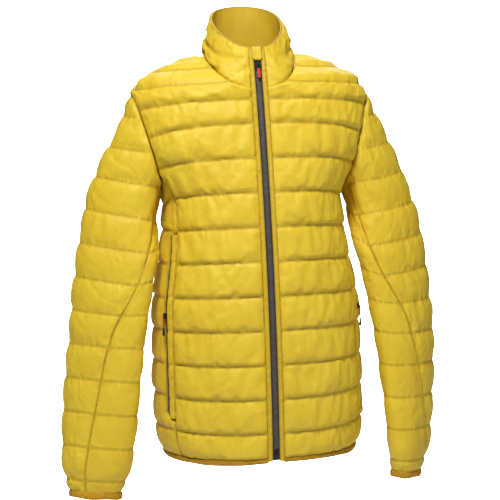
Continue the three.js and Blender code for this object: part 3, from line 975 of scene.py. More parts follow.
def row_share(marks: Array) -> tuple[Array, Array]:
    """For each row, its place from 0 to 1 between two sewn rows, and the number of its channel.

    Args:
        marks: Which rows are sewn.

    Returns:
        The places and the channels' numbers.
    """
    stops = np.flatnonzero(marks)
    rows = np.arange(len(marks))
    channel = np.clip(np.searchsorted(stops, rows, side="right") - 1, 0, len(stops) - 2)
    share = (rows - stops[channel]) / (stops[channel + 1] - stops[channel])
    return share, channel


@dataclass
class Quilter:
    """Fills quilted skins: a first puffed shape with wrinkles, then cloth that settles under pressure."""

    skins: list[Skin]

    def add(self, name: str, base: Array, middle: Array, row_marks: Array, seed: int, puff: float = 4.2,
            growth: float = 0.035, rim: float = 12.0) -> Skin:
        """Starts a skin from its seam-deep surface.

        Args:
            name: The piece's name.
            base: Rows by columns of points.
            middle: A point or grid of points that the skin faces away from.
            row_marks: Which rows are sewn.
            seed: The seed of its wrinkles.
            puff: How far the channels stand up at first.
            growth: How much larger than its pattern the cloth is.
            rim: How far in from its side edges it reaches its full height.

        Returns:
            The skin, kept in the list.
        """
        normal = grid_normals(base, middle)
        uv = cloth_uv(base)
        columns = base.shape[1]
        sewn = np.repeat(row_marks[:, None], columns, axis=1)
        sewn[:, [0, -1]] = True
        side = np.minimum(uv[..., 0] - uv[:, :1, 0], uv[:, -1:, 0] - uv[..., 0])
        seam = np.minimum(seam_distance(row_marks, uv), side)
        share, channel = row_share(row_marks)
        t = share[:, None] ** 0.72
        lift = np.sin(math.pi * t) ** 0.66 * np.clip(side / rim, 0, 1) ** 0.6
        u, row = uv[..., 0], channel[:, None] * 7.31
        slant = 0.45 * (share[:, None] - 0.5) * value_noise(u / 60, row, seed + 5)
        ridge = value_noise(u / 15 + slant * 2.2, row + 0.35 * share[:, None], seed)
        fold = value_noise(u / 38 + 1.4 * slant, row + 0.8 * share[:, None], seed + 1)
        height = puff * lift * (1 + 0.2 * fold) + 0.9 * lift * ridge
        points = base + normal * np.where(sewn, 0, height)[..., None]
        skin = Skin(name, base, normal, uv, seam, sewn, growth, points)
        self.skins.append(skin)
        return skin

    def settle(self, pressure: float = 4.0) -> None:
        """Lets every skin settle together as cloth, a little larger than its pattern, sewn rows held.

        Args:
            pressure: The pressure inside the skins.
        """
        scene = bpy.context.scene
        things = [self._cloth(skin, pressure) for skin in self.skins]
        scene.frame_start = 1
        scene.frame_end = SETTLE_FRAMES
        for number in range(1, SETTLE_FRAMES + 1):
            scene.frame_set(number)
        graph = bpy.context.evaluated_depsgraph_get()
        for skin, thing in zip(self.skins, things):
            settled = thing.evaluated_get(graph).data
            flat = np.empty(len(settled.vertices) * 3, np.float32)
            settled.vertices.foreach_get("co", flat)
            self._keep(skin, flat.reshape(skin.base.shape) / MM)
        for thing in things:
            mesh = thing.data
            bpy.data.objects.remove(thing)
            bpy.data.meshes.remove(mesh)
        scene.frame_set(1)

    @staticmethod
    def _cloth(skin: Skin, pressure: float) -> bpy.types.Object:
        """The skin as a one-sided sheet of cloth with its sewn points pinned.

        Args:
            skin: The skin.
            pressure: The pressure inside it.

        Returns:
            The object to simulate.
        """
        index = np.arange(skin.sewn.size).reshape(skin.sewn.shape)
        faces = grid_faces(index)
        p = skin.points.reshape(-1, 3)
        facing = np.cross(p[faces[:, 1]] - p[faces[:, 0]], p[faces[:, 2]] - p[faces[:, 0]])
        if np.sum(facing * skin.normal.reshape(-1, 3)[faces[:, 0]]) < 0:
            faces = faces[:, ::-1]
        mesh = bpy.data.meshes.new("settling")
        mesh.from_pydata((p * MM).tolist(), [], faces.tolist())
        thing = bpy.data.objects.new("settling_" + skin.name, mesh)
        bpy.context.scene.collection.objects.link(thing)
        pins = thing.vertex_groups.new(name="sewn")
        pins.add(np.flatnonzero(skin.sewn.ravel()).tolist(), 1.0, "REPLACE")
        settings = thing.modifiers.new("fill", "CLOTH").settings
        settings.vertex_group_mass = "sewn"
        settings.quality = 5
        settings.mass = 0.3
        settings.tension_stiffness = 18
        settings.compression_stiffness = 14
        settings.shear_stiffness = 6
        settings.bending_stiffness = 0.35
        settings.air_damping = 2.0
        settings.shrink_min = -skin.growth
        settings.use_pressure = True
        settings.uniform_pressure_force = pressure
        settings.effector_weights.gravity = 0.2
        thing.modifiers[0].collision_settings.use_collision = False
        return thing

    @staticmethod
    def _keep(skin: Skin, settled: Array, low: float = -1.0, high: float = 11.5, slide: float = 7.0) -> None:
        """Takes the settled shape, with how far a point may rise, sink or slide kept in bounds.

        Args:
            skin: The skin, whose points are changed.
            settled: Its settled points.
            low: The lowest rise over the seam-deep surface.
            high: The highest rise.
            slide: The furthest move along the surface.
        """
        move = settled - skin.base
        rise = np.sum(move * skin.normal, axis=-1, keepdims=True)
        aside = move - rise * skin.normal
        size = np.maximum(np.linalg.norm(aside, axis=-1, keepdims=True), 1e-6)
        aside = aside * np.minimum(size, slide) / size
        settled = skin.base + aside + np.clip(rise, low, high) * skin.normal
        skin.points = mix(skin.points, settled, SETTLED_SHARE)

    @staticmethod
    def close(skin: Skin, thickness: float, seed: int) -> bpy.types.Object:
        """The finished padded piece: twice as fine, puckered along its seams and closed behind.

        Args:
            skin: The settled skin.
            thickness: How far behind the sewn surface the back lies.
            seed: The seed of its puckers.

        Returns:
            The closed piece.
        """
        points, base, normal = refine(skin.points), refine(skin.base), unit(refine(skin.normal))
        uv, seam = refine(skin.uv), np.maximum(refine(skin.seam), 0)
        u, v = uv[..., 0], uv[..., 1]
        fade = np.exp(-seam / 9.0) * np.clip(seam / 2.5, 0, 1)
        pucker = value_noise(u / 6.5 + 0.5 * value_noise(u / 20, v / 9, seed), v / 24, seed + 9)
        finer = value_noise(u / 3.8 + 0.5 * value_noise(u / 14, v / 9, seed), v / 16, seed + 8)
        folds = np.abs(value_noise((u + 0.8 * v) / 26 + 0.4 * value_noise(u / 30, v / 30, seed), v / 70, seed + 7))
        folds = np.minimum(folds / 0.18, 1) * np.clip(seam / 14, 0, 1)
        points = points + normal * (fade * (2.0 * pucker + 0.8 * finer) + 0.8 * folds)[..., None]
        return wall(skin.name, points, base - normal * thickness, uv, seam, sharp=70)


@dataclass
class BodyPanels:
    """The fronts, the sides and the back, with their linings."""

    form: BodyForm
    quilter: Quilter
    drop_keys: Keys = ((-634, 0), (-594, -5), (-435, 0), (-223, 8), (-117, 20), (-64, 9), (-4, 0))
    upper_lines: tuple[float, ...] = (-80.0, -53.0, -28.0)
    pocket: tuple[float, float] = (-572.0, -286.0)
    pocket_degrees: float = 9.2
    lining_depth: float = 14.0
    lining_step: float = 9.0
    lining_edge: float = 15.5

    def quilt_lines(self, upper: tuple[float, ...]) -> list[float]:
        """The heights of the sewn lines from the hem up, ending with the given upper ones."""
        lines = [HEM_Z + 40 + PITCH * k for k in range(10)]
        return [HEM_Z, *lines, *upper]

    def level(self, z: Array, share: Array) -> Array:
        """A row's height as it runs to the side: rows sink a little towards the armhole."""
        return z - along(self.drop_keys, z) * share**2

    def ease_armhole(self, height: Array, share: Array, below: float) -> Array:
        """The seam's depth, shallower where the panel meets the armhole or the neck edge.

        Args:
            height: Heights of the panel's points.
            share: Their shares of the way to the side.
            below: The depth elsewhere.

        Returns:
            The depth of each point.
        """
        near = smoothstep(share, 0.8, 1.0) * smoothstep(height, -235.0, -215.0)
        near = np.maximum(near, smoothstep(1 - share, 0.9, 1.0) * smoothstep(height, -75.0, -62.0))
        return mix(below, min(below, 1.0), near) if below < 8 else np.full(np.shape(height), below)

    def front(self, side: Side, below: Array, step: float, edge: float = 11.9) -> tuple[Array, Array]:
        """A front panel's grid: rows between the placket or neck edge and the side, armhole or shoulder.

        Args:
            side: Which front.
            below: How far under the outer surface.
            step: About how far apart the points are.
            edge: The inner edge's distance from the middle.

        Returns:
            The grid and the marks of its sewn rows.
        """
        z, marks = spaced([*self.quilt_lines(self.upper_lines), -6.3], step)
        share = np.linspace(0, 1, int(165 / step))[None, :]
        height = self.level(z[:, None], share)
        neck_front = self.form.neck_z - self.form.neck_drop
        bow = np.sqrt(np.maximum(1 - ((self.form.neck_z - z) / self.form.neck_drop) ** 2, 0))
        neck = np.where(z > neck_front, self.form.neck_width * bow, 0)
        inner = self.form.angle_of(np.maximum(neck + 1.5, edge), z)[:, None]
        angle = mix(inner, self.form.panel_end(height) - 0.2 / self.form.width(height), share)
        below = self.ease_armhole(height, share, below)
        return self.form.surface(height, angle, below) * [side.sign, 1, 1], marks

    def back(self, below: Array, step: float) -> tuple[Array, Array]:
        """The back panel's grid, from side to side, and the marks of its sewn rows.

        Args:
            below: How far under the outer surface.
            step: About how far apart the points are.

        Returns:
            The grid and the marks.
        """
        z, marks = spaced([*self.quilt_lines((-64.0,)), -6.3], step)
        share = np.linspace(-1, 1, int(360 / step) | 1)[None, :]
        height = self.level(z[:, None], np.abs(share))
        end = math.pi - self.form.panel_end(height) + 0.2 / self.form.width(height)
        below = self.ease_armhole(height, np.abs(share), below)
        grid = self.form.surface(height, mix(math.pi, end, np.abs(share)), below)
        grid[..., 0] *= np.where(share < 0, -1, 1)
        return grid, marks

    def under_arm(self, side: Side, below: Array, step: float) -> tuple[Array, Array]:
        """A side panel's grid: from the front seam, or the pocket, round to the back seam.

        Args:
            side: Which side.
            below: How far under the outer surface.
            step: About how far apart the points are.

        Returns:
            The grid and the marks of its sewn rows.
        """
        form = self.form
        corner = float(form.side_top(np.array(0.0)))
        lines = [z for z in self.quilt_lines(()) if z < corner - 12]
        z, marks = spaced([*lines, corner], step)
        share = np.linspace(0, 1, int(125 / step))[None, :]
        straight = form.underarm[1] - PITCH
        rise = np.maximum((z[:, None] - straight) / (corner - straight), 0)
        height = self.level(z[:, None], np.ones_like(share))
        top = form.side_top(share) - 0.4
        height = height + (top - self.level(np.array(corner), np.array(1.0))) * smoothstep(rise, 0, 1)
        low, high = self.pocket
        opened = smoothstep(height, low - 4, low + 4) * (1 - smoothstep(height, high - 4, high + 4))
        start = form.seam_angle(height) + 0.007 + np.radians(self.pocket_degrees) * opened
        angle = mix(start, math.pi - form.seam_angle(height) - 0.007, share)
        return form.surface(height, angle, below) * [side.sign, 1, 1], marks

    def start(self) -> None:
        """Starts the five outer skins."""
        axis = np.array([0.0, 0.0, -330.0])
        for side in Side:
            grid, marks = self.front(side, SEAM_DEPTH, GRID_STEP)
            middle = grid * [0, 0, 1] + [FRONT_MIDDLE[0] * side.sign, FRONT_MIDDLE[1], 0]
            self.quilter.add(f"front_{side.label}", grid, middle, marks, 20 + int(side.sign))
            grid, marks = self.under_arm(side, SEAM_DEPTH, GRID_STEP)
            self.quilter.add(f"side_{side.label}", grid, axis, marks, 30 + int(side.sign), puff=3.4, growth=0.015,
                             rim=30.0)
        grid, marks = self.back(SEAM_DEPTH, GRID_STEP)
        self.quilter.add("back", grid, grid * [0, 0, 1], marks, 40)

    def line_inside(self, shop: Workshop) -> None:
        """The linings: thin sheets with soft ripples that meet at the sewn rows.

        Args:
            shop: Where finished pieces are fitted.
        """
        depth, step, edge = self.lining_depth, self.lining_step, self.lining_edge
        grids = [(f"lining_front_{side.label}", *self.front(side, depth, step, edge)) for side in Side]
        grids.append(("lining_back", *self.back(depth, step)))
        for name, grid, marks in grids:
            uv = cloth_uv(grid)
            share, channel = row_share(marks)
            lift = np.sin(math.pi * share)[:, None]
            middle = grid * [0, 0, 1]
            if name != "lining_back":
                middle = middle + [FRONT_MIDDLE[0] * np.sign(grid[0, 0, 0]), FRONT_MIDDLE[1], 0]
            normal = grid_normals(grid, middle)
            ripple = lift * (0.35 + 0.35 * value_noise(uv[..., 0] / 14, channel[:, None] * 3.7 + lift * 0.3, 61))
            outer = grid - normal * (0.05 + ripple)[..., None]
            outer, inner = refine(outer), refine(grid - normal * (1.0 + 1.2 * ripple)[..., None])
            seam = np.maximum(refine(seam_distance(marks, uv)), 0)
            shop.fit(wall(name, outer, inner, refine(uv), seam), Slot.LINING, "jacket", name)


@dataclass
class Sleeve:
    """One sleeve: the upper and under panels, the lining and the gathered elastic at the wrist."""

    form: SleeveForm
    quilter: Quilter
    first_line: float = 20.0
    wall: float = 8.0
    binding: float = 10.0
    seam_depth: float = 3.2

    def _grid(self, columns: int, start: Callable[[Array], Array], end: Callable[[Array], Array],
              rows: int) -> tuple[Array, Array]:
        """A panel's grid whose sewn lines keep the same distance from the cuff on every column.

        Args:
            columns: How many columns.
            start: The first column's angle in degrees, by the share of the length.
            end: The last column's angle.
            rows: How many rows.

        Returns:
            The grid and the mask of its sewn points.
        """
        across = np.linspace(0, 1, columns)[None, :]
        fine = np.linspace(0, 1, 400)[:, None]
        angle = np.radians(mix(start(fine), end(fine), across))
        path = self.form.surface(fine, angle, mix(1.0, self.seam_depth, smoothstep(fine, 0.0, 0.08)))
        step = np.linalg.norm(np.diff(path, axis=0), axis=-1)
        up = np.concatenate([np.zeros((1, columns)), np.cumsum(step, axis=0)])
        up = up[-1:] - up
        share = np.zeros((rows, columns))
        sewn = np.zeros((rows, columns), bool)
        for k in range(columns):
            total = up[0, k]
            lines = np.arange(self.first_line, total - 12, PITCH)
            place = np.unique(np.round(lines / total * (rows - 1)).astype(int))
            stops = np.concatenate([[0], place, [rows - 1]])
            heights = np.interp(np.arange(rows), stops, np.concatenate([[0], lines, [total]]))
            share[:, k] = np.interp(heights, up[::-1, k], fine[::-1, 0])
            sewn[stops, k] = True
        angle = np.radians(mix(start(share), end(share), across))
        return self.form.surface(share, angle, mix(1.0, self.seam_depth, smoothstep(share, 0.0, 0.08))), sewn

    def start(self) -> None:
        """Starts the two outer skins."""
        form, side = self.form, self.form.side
        front = lambda share: along(form.front_keys, share)
        back = lambda share: along(form.back_keys, share)
        panels = (("upper", 52, lambda s: back(s) - 359.4, front, 50, 2.8),
                  ("under", 16, lambda s: front(s) + 0.6, back, 60, 1.2))
        for word, columns, begin, finish, seed, puff in panels:
            grid, sewn = self._grid(columns, begin, finish, 106)
            middle = self._middle(grid)
            marks = np.zeros(len(grid), bool)
            marks[[0, -1]] = True
            skin = self.quilter.add(f"sleeve_{word}_{side.label}", grid, middle, marks, seed + int(side.sign),
                                    growth=0.004 * puff)
            self._sew(skin, sewn, seed + int(side.sign), puff)
            skin.base, skin.points = skin.base * [side.sign, 1, 1], skin.points * [side.sign, 1, 1]
            skin.normal = skin.normal * [side.sign, 1, 1]

    def _middle(self, grid: Array) -> Array:
        """The nearest height's middle of the sleeve, for every point of a grid."""
        share, points, _ = self.form.line()
        order = np.argsort(points[:, 2])
        z = grid[..., 2]
        return np.stack([np.interp(z, points[order, 2], points[order, k]) for k in (0, 1)] + [z], -1)

    @staticmethod
    def _sew(skin: Skin, sewn: Array, seed: int, puff: float) -> None:
        """Shapes the channels of a skin whose sewn lines wander over its rows.

        Args:
            skin: The skin, whose points are changed.
            sewn: Its sewn points.
            seed: The seed of its wrinkles.
            puff: How far the channels stand up.
        """
        v = skin.uv[..., 1]
        below = np.maximum.accumulate(np.where(sewn, v, -1.0), axis=0)
        above = np.minimum.accumulate(np.where(sewn, v, 1e6)[::-1], axis=0)[::-1]
        span = np.maximum(above - below, 1e-6)
        share = np.where(sewn, 0, (v - below) / span)
        channel = np.cumsum(sewn, axis=0) * 5.17
        u = skin.uv[..., 0]
        side = np.minimum(u - u[:, :1], u[:, -1:] - u)
        skin.seam = np.minimum(np.minimum(v - below, above - v), np.minimum(side, 30))
        skin.sewn = sewn.copy()
        skin.sewn[:, [0, -1]] = True
        lift = np.sin(math.pi * share ** 1.3) ** 0.62 * np.clip(side / 14, 0, 1) ** 0.6
        slant = (share - 0.5) * value_noise(u / 50, channel, seed + 3)
        ridge = value_noise(u / 14 + slant, channel + 0.35 * share, seed)
        fold = value_noise(u / 34 + 0.8 * slant, channel + 0.8 * share, seed + 1)
        height = puff * lift * (1 + 0.2 * fold) + 0.9 * lift * ridge
        skin.points = skin.base + skin.normal * np.where(skin.sewn, 0, height)[..., None]

    def finish(self, shop: Workshop) -> None:
        """The lining and the elastic binding.

        Args:
            shop: Where finished pieces are fitted.
        """
        form, side = self.form, self.form.side
        turns = np.linspace(0, 2 * math.pi, 56, endpoint=False)[None, :]
        share = np.linspace(0.02, 1, 70)[:, None]
        ripple = 0.5 * value_noise(turns * 5, share * 12, 71) * np.sin(share * 33) ** 2
        deep = self.wall + 5 + 5 * (1 - share) ** 2 + ripple
        outer = form.surface(share, turns, deep) * [side.sign, 1, 1]
        inner = form.surface(share, turns, deep + 0.9) * [side.sign, 1, 1]
        name = f"sleeve_lining_{side.label}"
        shop.bend(wall(name, outer, inner, cloth_uv(outer), ring=True), Slot.LINING, side, name)
        shop.fit(self._binding(), Slot.BINDING, f"sleeve_{side.label}", f"cuff_binding_{side.label}")

    def _binding(self) -> bpy.types.Object:
        """A folded elastic round the wrist: a rounded band with gathers about 7 mm apart."""
        form, side = self.form, self.form.side
        around = np.linspace(0, 2 * math.pi, 216, endpoint=False)[None, :]
        down = np.linspace(0, 1, 9)[:, None]
        gather = np.sin(around * 34 + 1.5 * value_noise(around * 4, 0 * around, 81))
        crown = np.sqrt(np.maximum(1 - (2 * down - 1) ** 2, 0))
        tangent = form.line()[2][-1]
        drop = (-2.5 + (self.binding + 2.5) * down)[..., None] * tangent
        tuck = 3.2 * (1 - down) ** 3
        edge = (0.7 * down * np.sin(around * 5 + 0.6))[..., None] * tangent
        out = form.surface(np.array(1.0), around, 1.2 + tuck - 0.9 * crown - 0.45 * gather * crown) + drop + edge
        inside = form.surface(np.array(1.0), around, 2.6 + tuck + 0.6 * crown - 0.2 * gather * crown) + drop + edge
        flip = np.array([side.sign, 1, 1])
        name = f"cuff_binding_{side.label}"
        uv = np.stack(np.broadcast_arrays(around * 34, 10 * down), -1)
        return wall(name, out * flip, inside * flip, uv, ring=True)


@dataclass
class Collar:
    """The collar's padded shell, its lining, the guard over the zip's end and the hanger loop."""

    form: CollarForm
    quilter: Quilter

    def _angles(self, columns: int, inset: float) -> tuple[Array, Array]:
        """Angles and signs of x from the right edge of the opening round the back to the left edge.

        Args:
            columns: How many angles.
            inset: How much further the edge lies from the middle.

        Returns:
            The angles and the signs.
        """
        opening = math.asin((11.8 + inset) / self.form.top_width)
        turn = np.linspace(opening - math.pi, math.pi - opening, columns)[None, :]
        return math.pi - np.abs(turn), np.where(turn < 0, -1.0, 1.0)

    def start(self) -> None:
        """Starts the outer skin: a roll at the top, and a crease that runs forward from each side."""
        rise = np.linspace(-0.07, 1, 16)[:, None]
        angle, sign = self._angles(84, 0.0)
        rise, angle = np.broadcast_arrays(rise, angle)
        grid = self.form.surface(rise, angle, np.full(rise.shape, 2.4))
        grid[..., 0] *= sign
        marks = np.zeros(len(grid), bool)
        marks[[0, -1]] = True
        skin = self.quilter.add("collar", grid, grid * [0, 0, 1], marks, 90, puff=4.2)
        line = 0.52 + 0.2 * np.cos(angle * 2) * (angle < math.pi / 2)
        crease = np.exp(-(((rise - line) / 0.09) ** 2)) * np.sin(angle) ** 2
        rough = value_noise(skin.uv[..., 0] / 26, rise * 2.3, 92) + 0.6 * value_noise(
            skin.uv[..., 0] / 11, rise * 3.7, 93)
        free = ~skin.sewn
        push = (2.2 * rough - 5.5 * crease) * np.sin(math.pi * np.clip(rise, 0, 1)) ** 0.5 * free
        skin.points = skin.points + skin.normal * push[..., None]

    def finish(self, shop: Workshop) -> None:
        """The lining, the guard and the loop.

        Args:
            shop: Where finished pieces are fitted.
        """
        rise = np.linspace(-0.2, 1, 28)[:, None]
        angle, sign = self._angles(150, 0.3)
        rise, angle = np.broadcast_arrays(rise, angle)
        outer = self.form.surface(rise, angle, np.full(rise.shape, 5.6))
        u = cloth_uv(outer)[..., 0] * sign
        soft = np.sin(math.pi * np.clip(rise, 0, 1)) ** 0.6
        pucker = value_noise(u / 8, rise * 1.7, 95) * np.exp(-(1 - rise) * 4)
        pucker = pucker + 0.6 * value_noise(u / 22, rise * 3, 96)
        inner = self.form.surface(rise, angle, 7.6 + soft * (1.2 + 1.1 * pucker))
        outer[..., 0] *= sign
        inner[..., 0] *= sign
        uv = cloth_uv(outer)
        seam = np.minimum(uv[..., 1], uv[-1:, :, 1] - uv[..., 1])
        lining = wall("collar_lining", outer, inner, uv, seam)
        shop.fit(lining, Slot.LINING, "jacket", "collar_lining")
        self._guard(shop)
        self._loop(shop)

    def _guard(self, shop: Workshop) -> None:
        """The guard: a folded patch with rounded corners, crowned between its stitched edges.

        Args:
            shop: Where finished pieces are fitted.
        """
        x = np.linspace(-1, 1, 17)[None, :]
        s = np.linspace(0, 1, 23)[:, None]
        half = 8.2 * (1 - 0.35 * smoothstep(np.abs(1 - s), 0.8, 1.0))
        z = -22 + 21 * s
        crown = np.maximum((1 - x**6) * (1 - (2 * s - 1) ** 6), 0) ** 0.5
        dent = 0.35 * value_noise(x * 2.2, s * 3, 97)
        arc = self.form.body.zip_arc
        outer = arc.point(-0.5 + half * x, z, -1.7 - 2.2 * crown - dent * crown)
        inner = arc.point(-0.5 + half * x, z, -1.4 + 0 * crown)
        uv = np.stack(np.broadcast_arrays(7.5 * x, 21 * s), -1)
        guard = wall("zip_guard", outer, inner, uv, 7.5 * (1 - np.abs(x)) + 0 * s)
        shop.fit(guard, Slot.SHELL, "jacket", "zip_guard")

    def _loop(self, shop: Workshop) -> None:
        """The loop: a tape that rises from the seam at one side, bows across and comes down again.

        Args:
            shop: Where finished pieces are fitted.
        """
        t = np.linspace(0, 1, 61)
        x = 20.4 * np.sign(0.5 - t) * np.abs(np.cos(math.pi * t)) ** 0.35 * -1
        z = -19.2 + 11.0 * np.sin(math.pi * t) ** 0.3
        path = np.stack([x, np.full_like(t, 40.8), z], -1)
        forward = unit(np.gradient(path, axis=0))
        level = np.tile([0.0, 1.0, 0.0], (len(t), 1))
        up = np.cross(forward, level)
        turn = np.linspace(0, 2 * math.pi, 12, endpoint=False)
        oval = np.stack([1.05 * np.cos(turn), 1.3 * np.sin(turn)], -1)
        loop = tube("hanger_loop", path, np.tile(oval, (len(t), 1, 1)), level, up)
        shop.fit(loop, Slot.BINDING, "jacket", "hanger_loop")


@dataclass
class FrontZip:
    """The front closure: plackets, tapes, teeth, the flap behind and the slider with its pull."""

    arc: ZipArc
    top: float = -23.0
    bottom: float = -617.0
    tooth: float = 2.3

    def _strip(self, name: str, x: tuple[float, float], z: tuple[float, float],
               face: Callable[[Array, Array], Array], back: float, steps: int, across: int) -> bpy.types.Object:
        """A strip beside the arc; face gives its depth from its shares across and its height.

        Args:
            name: The piece's name.
            x: Its edges' distances from the middle.
            z: The heights of its ends.
            face: The depth of its front.
            back: The depth of its back.
            steps: How many rows.
            across: How many columns.

        Returns:
            The closed strip.
        """
        share = np.linspace(0, 1, across)[None, :]
        height = np.linspace(z[0], z[1], steps)[:, None]
        share, height = np.broadcast_arrays(share, height)
        wide = mix(x[0], x[1], share)
        outer = self.arc.point(wide, height, face(share, height))
        inner = self.arc.point(wide, height, np.full(share.shape, back))
        uv = np.stack([height, wide], -1)
        seam = np.minimum(np.abs(share - 0.2), np.abs(share - 0.8)) * abs(x[1] - x[0])
        return wall(name, outer, inner, uv, seam)

    def build(self, shop: Workshop) -> None:
        """Builds and fits every piece of the front zip.

        Args:
            shop: Where finished pieces are fitted.
        """
        for side in Side:
            s, word = side.sign, side.label

            def placket(share: Array, height: Array) -> Array:
                """A soft roll with two stitched grooves and small gathers."""
                groove = 0.5 * (np.exp(-(((share - 0.2) / 0.06) ** 2)) + np.exp(-(((share - 0.8) / 0.06) ** 2)))
                gather = 0.6 * value_noise(height / 5.0, share * 1.5, 101) * share
                edge = 1.6 * np.maximum(np.abs(2 * share - 1), 0) ** 5
                return -0.3 + groove + gather + edge

            strip = self._strip(f"placket_{word}", (s * 5.6, s * 12.6), (-637, -3), placket, 3.2, 420, 15)
            shop.fit(strip, Slot.SHELL, "jacket", f"placket_{word}")
            rib = lambda share, height: 3.6 + 0.12 * np.cos(share * 60)
            tape = self._strip(f"zip_tape_{word}", (s * 0.3, s * 11), (-636, -14), rib, 4.4, 160, 25)
            shop.fit(tape, Slot.TAPE, "jacket", f"zip_tape_{word}")
            shop.fit(self._teeth(side), Slot.TEETH, "jacket", f"zip_chain_{word}")
            shop.harden(f"zip_stop_{word}", Slot.HARDWARE)
        wave = lambda share, height: 10.4 + 0.35 * value_noise(height / 30, share * 2, 103)
        shop.fit(self._strip("draft_flap", (-10, 16), (-628, -68), wave, 11.8, 160, 14),
                 Slot.LINING, "jacket", "draft_flap")
        for node in ("zip_box", "zip_pin", "slider_front", "slider_back", "slider_bridge", "pull_link"):
            shop.harden(node, Slot.HARDWARE)
        self._pull(shop)

    def _teeth(self, side: Side) -> bpy.types.Object:
        """One half of the chain: low rounded teeth, every second place on each side.

        Args:
            side: Which half.

        Returns:
            The teeth as one object.
        """
        around, rings = 8, 4
        turn = np.linspace(0, 2 * math.pi, around, endpoint=False)[None, :]
        lat = np.linspace(-0.42, 0.42, rings)[:, None] * math.pi
        sharpen = lambda v: np.sign(v) * np.abs(v) ** 0.55
        x = 0.75 + 2.3 * sharpen(np.sin(lat)) + 0 * turn
        up = 0.62 * self.tooth * sharpen(np.cos(turn)) * np.cos(lat) ** 0.3
        out = 1.45 * sharpen(np.sin(turn)) * np.cos(lat) ** 0.3
        one = np.stack([x + 0.9, up, out], -1).reshape(-1, 3)
        count = int((self.top - self.bottom) / self.tooth)
        places = self.bottom + self.tooth * (np.arange(count) + (0.5 if side is Side.LEFT else 0.0))
        z = places[:, None] + one[None, :, 1] * 0.5
        points = self.arc.point(side.sign * one[None, :, 0] + 0 * z, z, 1.95 - one[None, :, 2])
        index = np.arange(rings * around).reshape(rings, around)
        index = np.concatenate([index, index[:, :1]], axis=1)
        faces = grid_faces(index)
        ends = np.concatenate([quads(index[0, 0:around:2], index[0, 1:around + 1:2], index[0, 2:around + 2:2],
                                     np.full(around // 2, index[0, 0]))[1:-1],
                               quads(index[-1, 0:around:2], index[-1, 1:around + 1:2], index[-1, 2:around + 2:2],
                                     np.full(around // 2, index[-1, 0]))[1:-1][:, ::-1]])
        shell = np.concatenate([faces[:, ::-1], ends])
        every = (shell[None] + (np.arange(count) * rings * around)[:, None, None]).reshape(-1, 4)
        thing = mesh_object(f"zip_chain_{side.label}", points, every)
        thing.data.uv_layers.new(name="cloth")
        return thing

    def _pull(self, shop: Workshop) -> None:
        """The red pull tab: a rounded tapered tongue with grip ribs, seated in its solid's place.

        Args:
            shop: Where finished pieces are fitted.
        """
        low, high = (np.array(corner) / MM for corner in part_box("pull_tab"))
        t = np.linspace(0, 1, 60)
        path = np.stack([0 * t, mix(low[1] + 1.3, high[1] - 1.3, t), mix(low[2] + 0.2, high[2] - 0.1, t)], -1)
        round_end = np.sqrt(np.maximum(1 - np.clip(np.abs(2 * t - 1) * 8 - 7, 0, 1) ** 2, 0.01))
        wide = mix(2.3, 2.6, smoothstep(t, 0.2, 0.6)) * round_end
        rib = 1 - 0.16 * (np.cos(t * 62) > 0.2) * (t > 0.12) * (t < 0.72)
        turn = np.linspace(0, 2 * math.pi, 20, endpoint=False)
        box = lambda v: np.sign(v) * np.abs(v) ** 0.5
        thick = 1.15 * round_end * rib
        ring = np.stack([wide[:, None] * box(np.cos(turn)), thick[:, None] * box(np.sin(turn))], -1)
        forward = unit(np.gradient(path, axis=0))
        level = np.tile([1.0, 0.0, 0.0], (len(t), 1))
        tab = tube("pull_tab", path, ring, level, np.cross(forward, level), 40)
        shop.fit(tab, Slot.RED, "front_pull", "pull_tab")


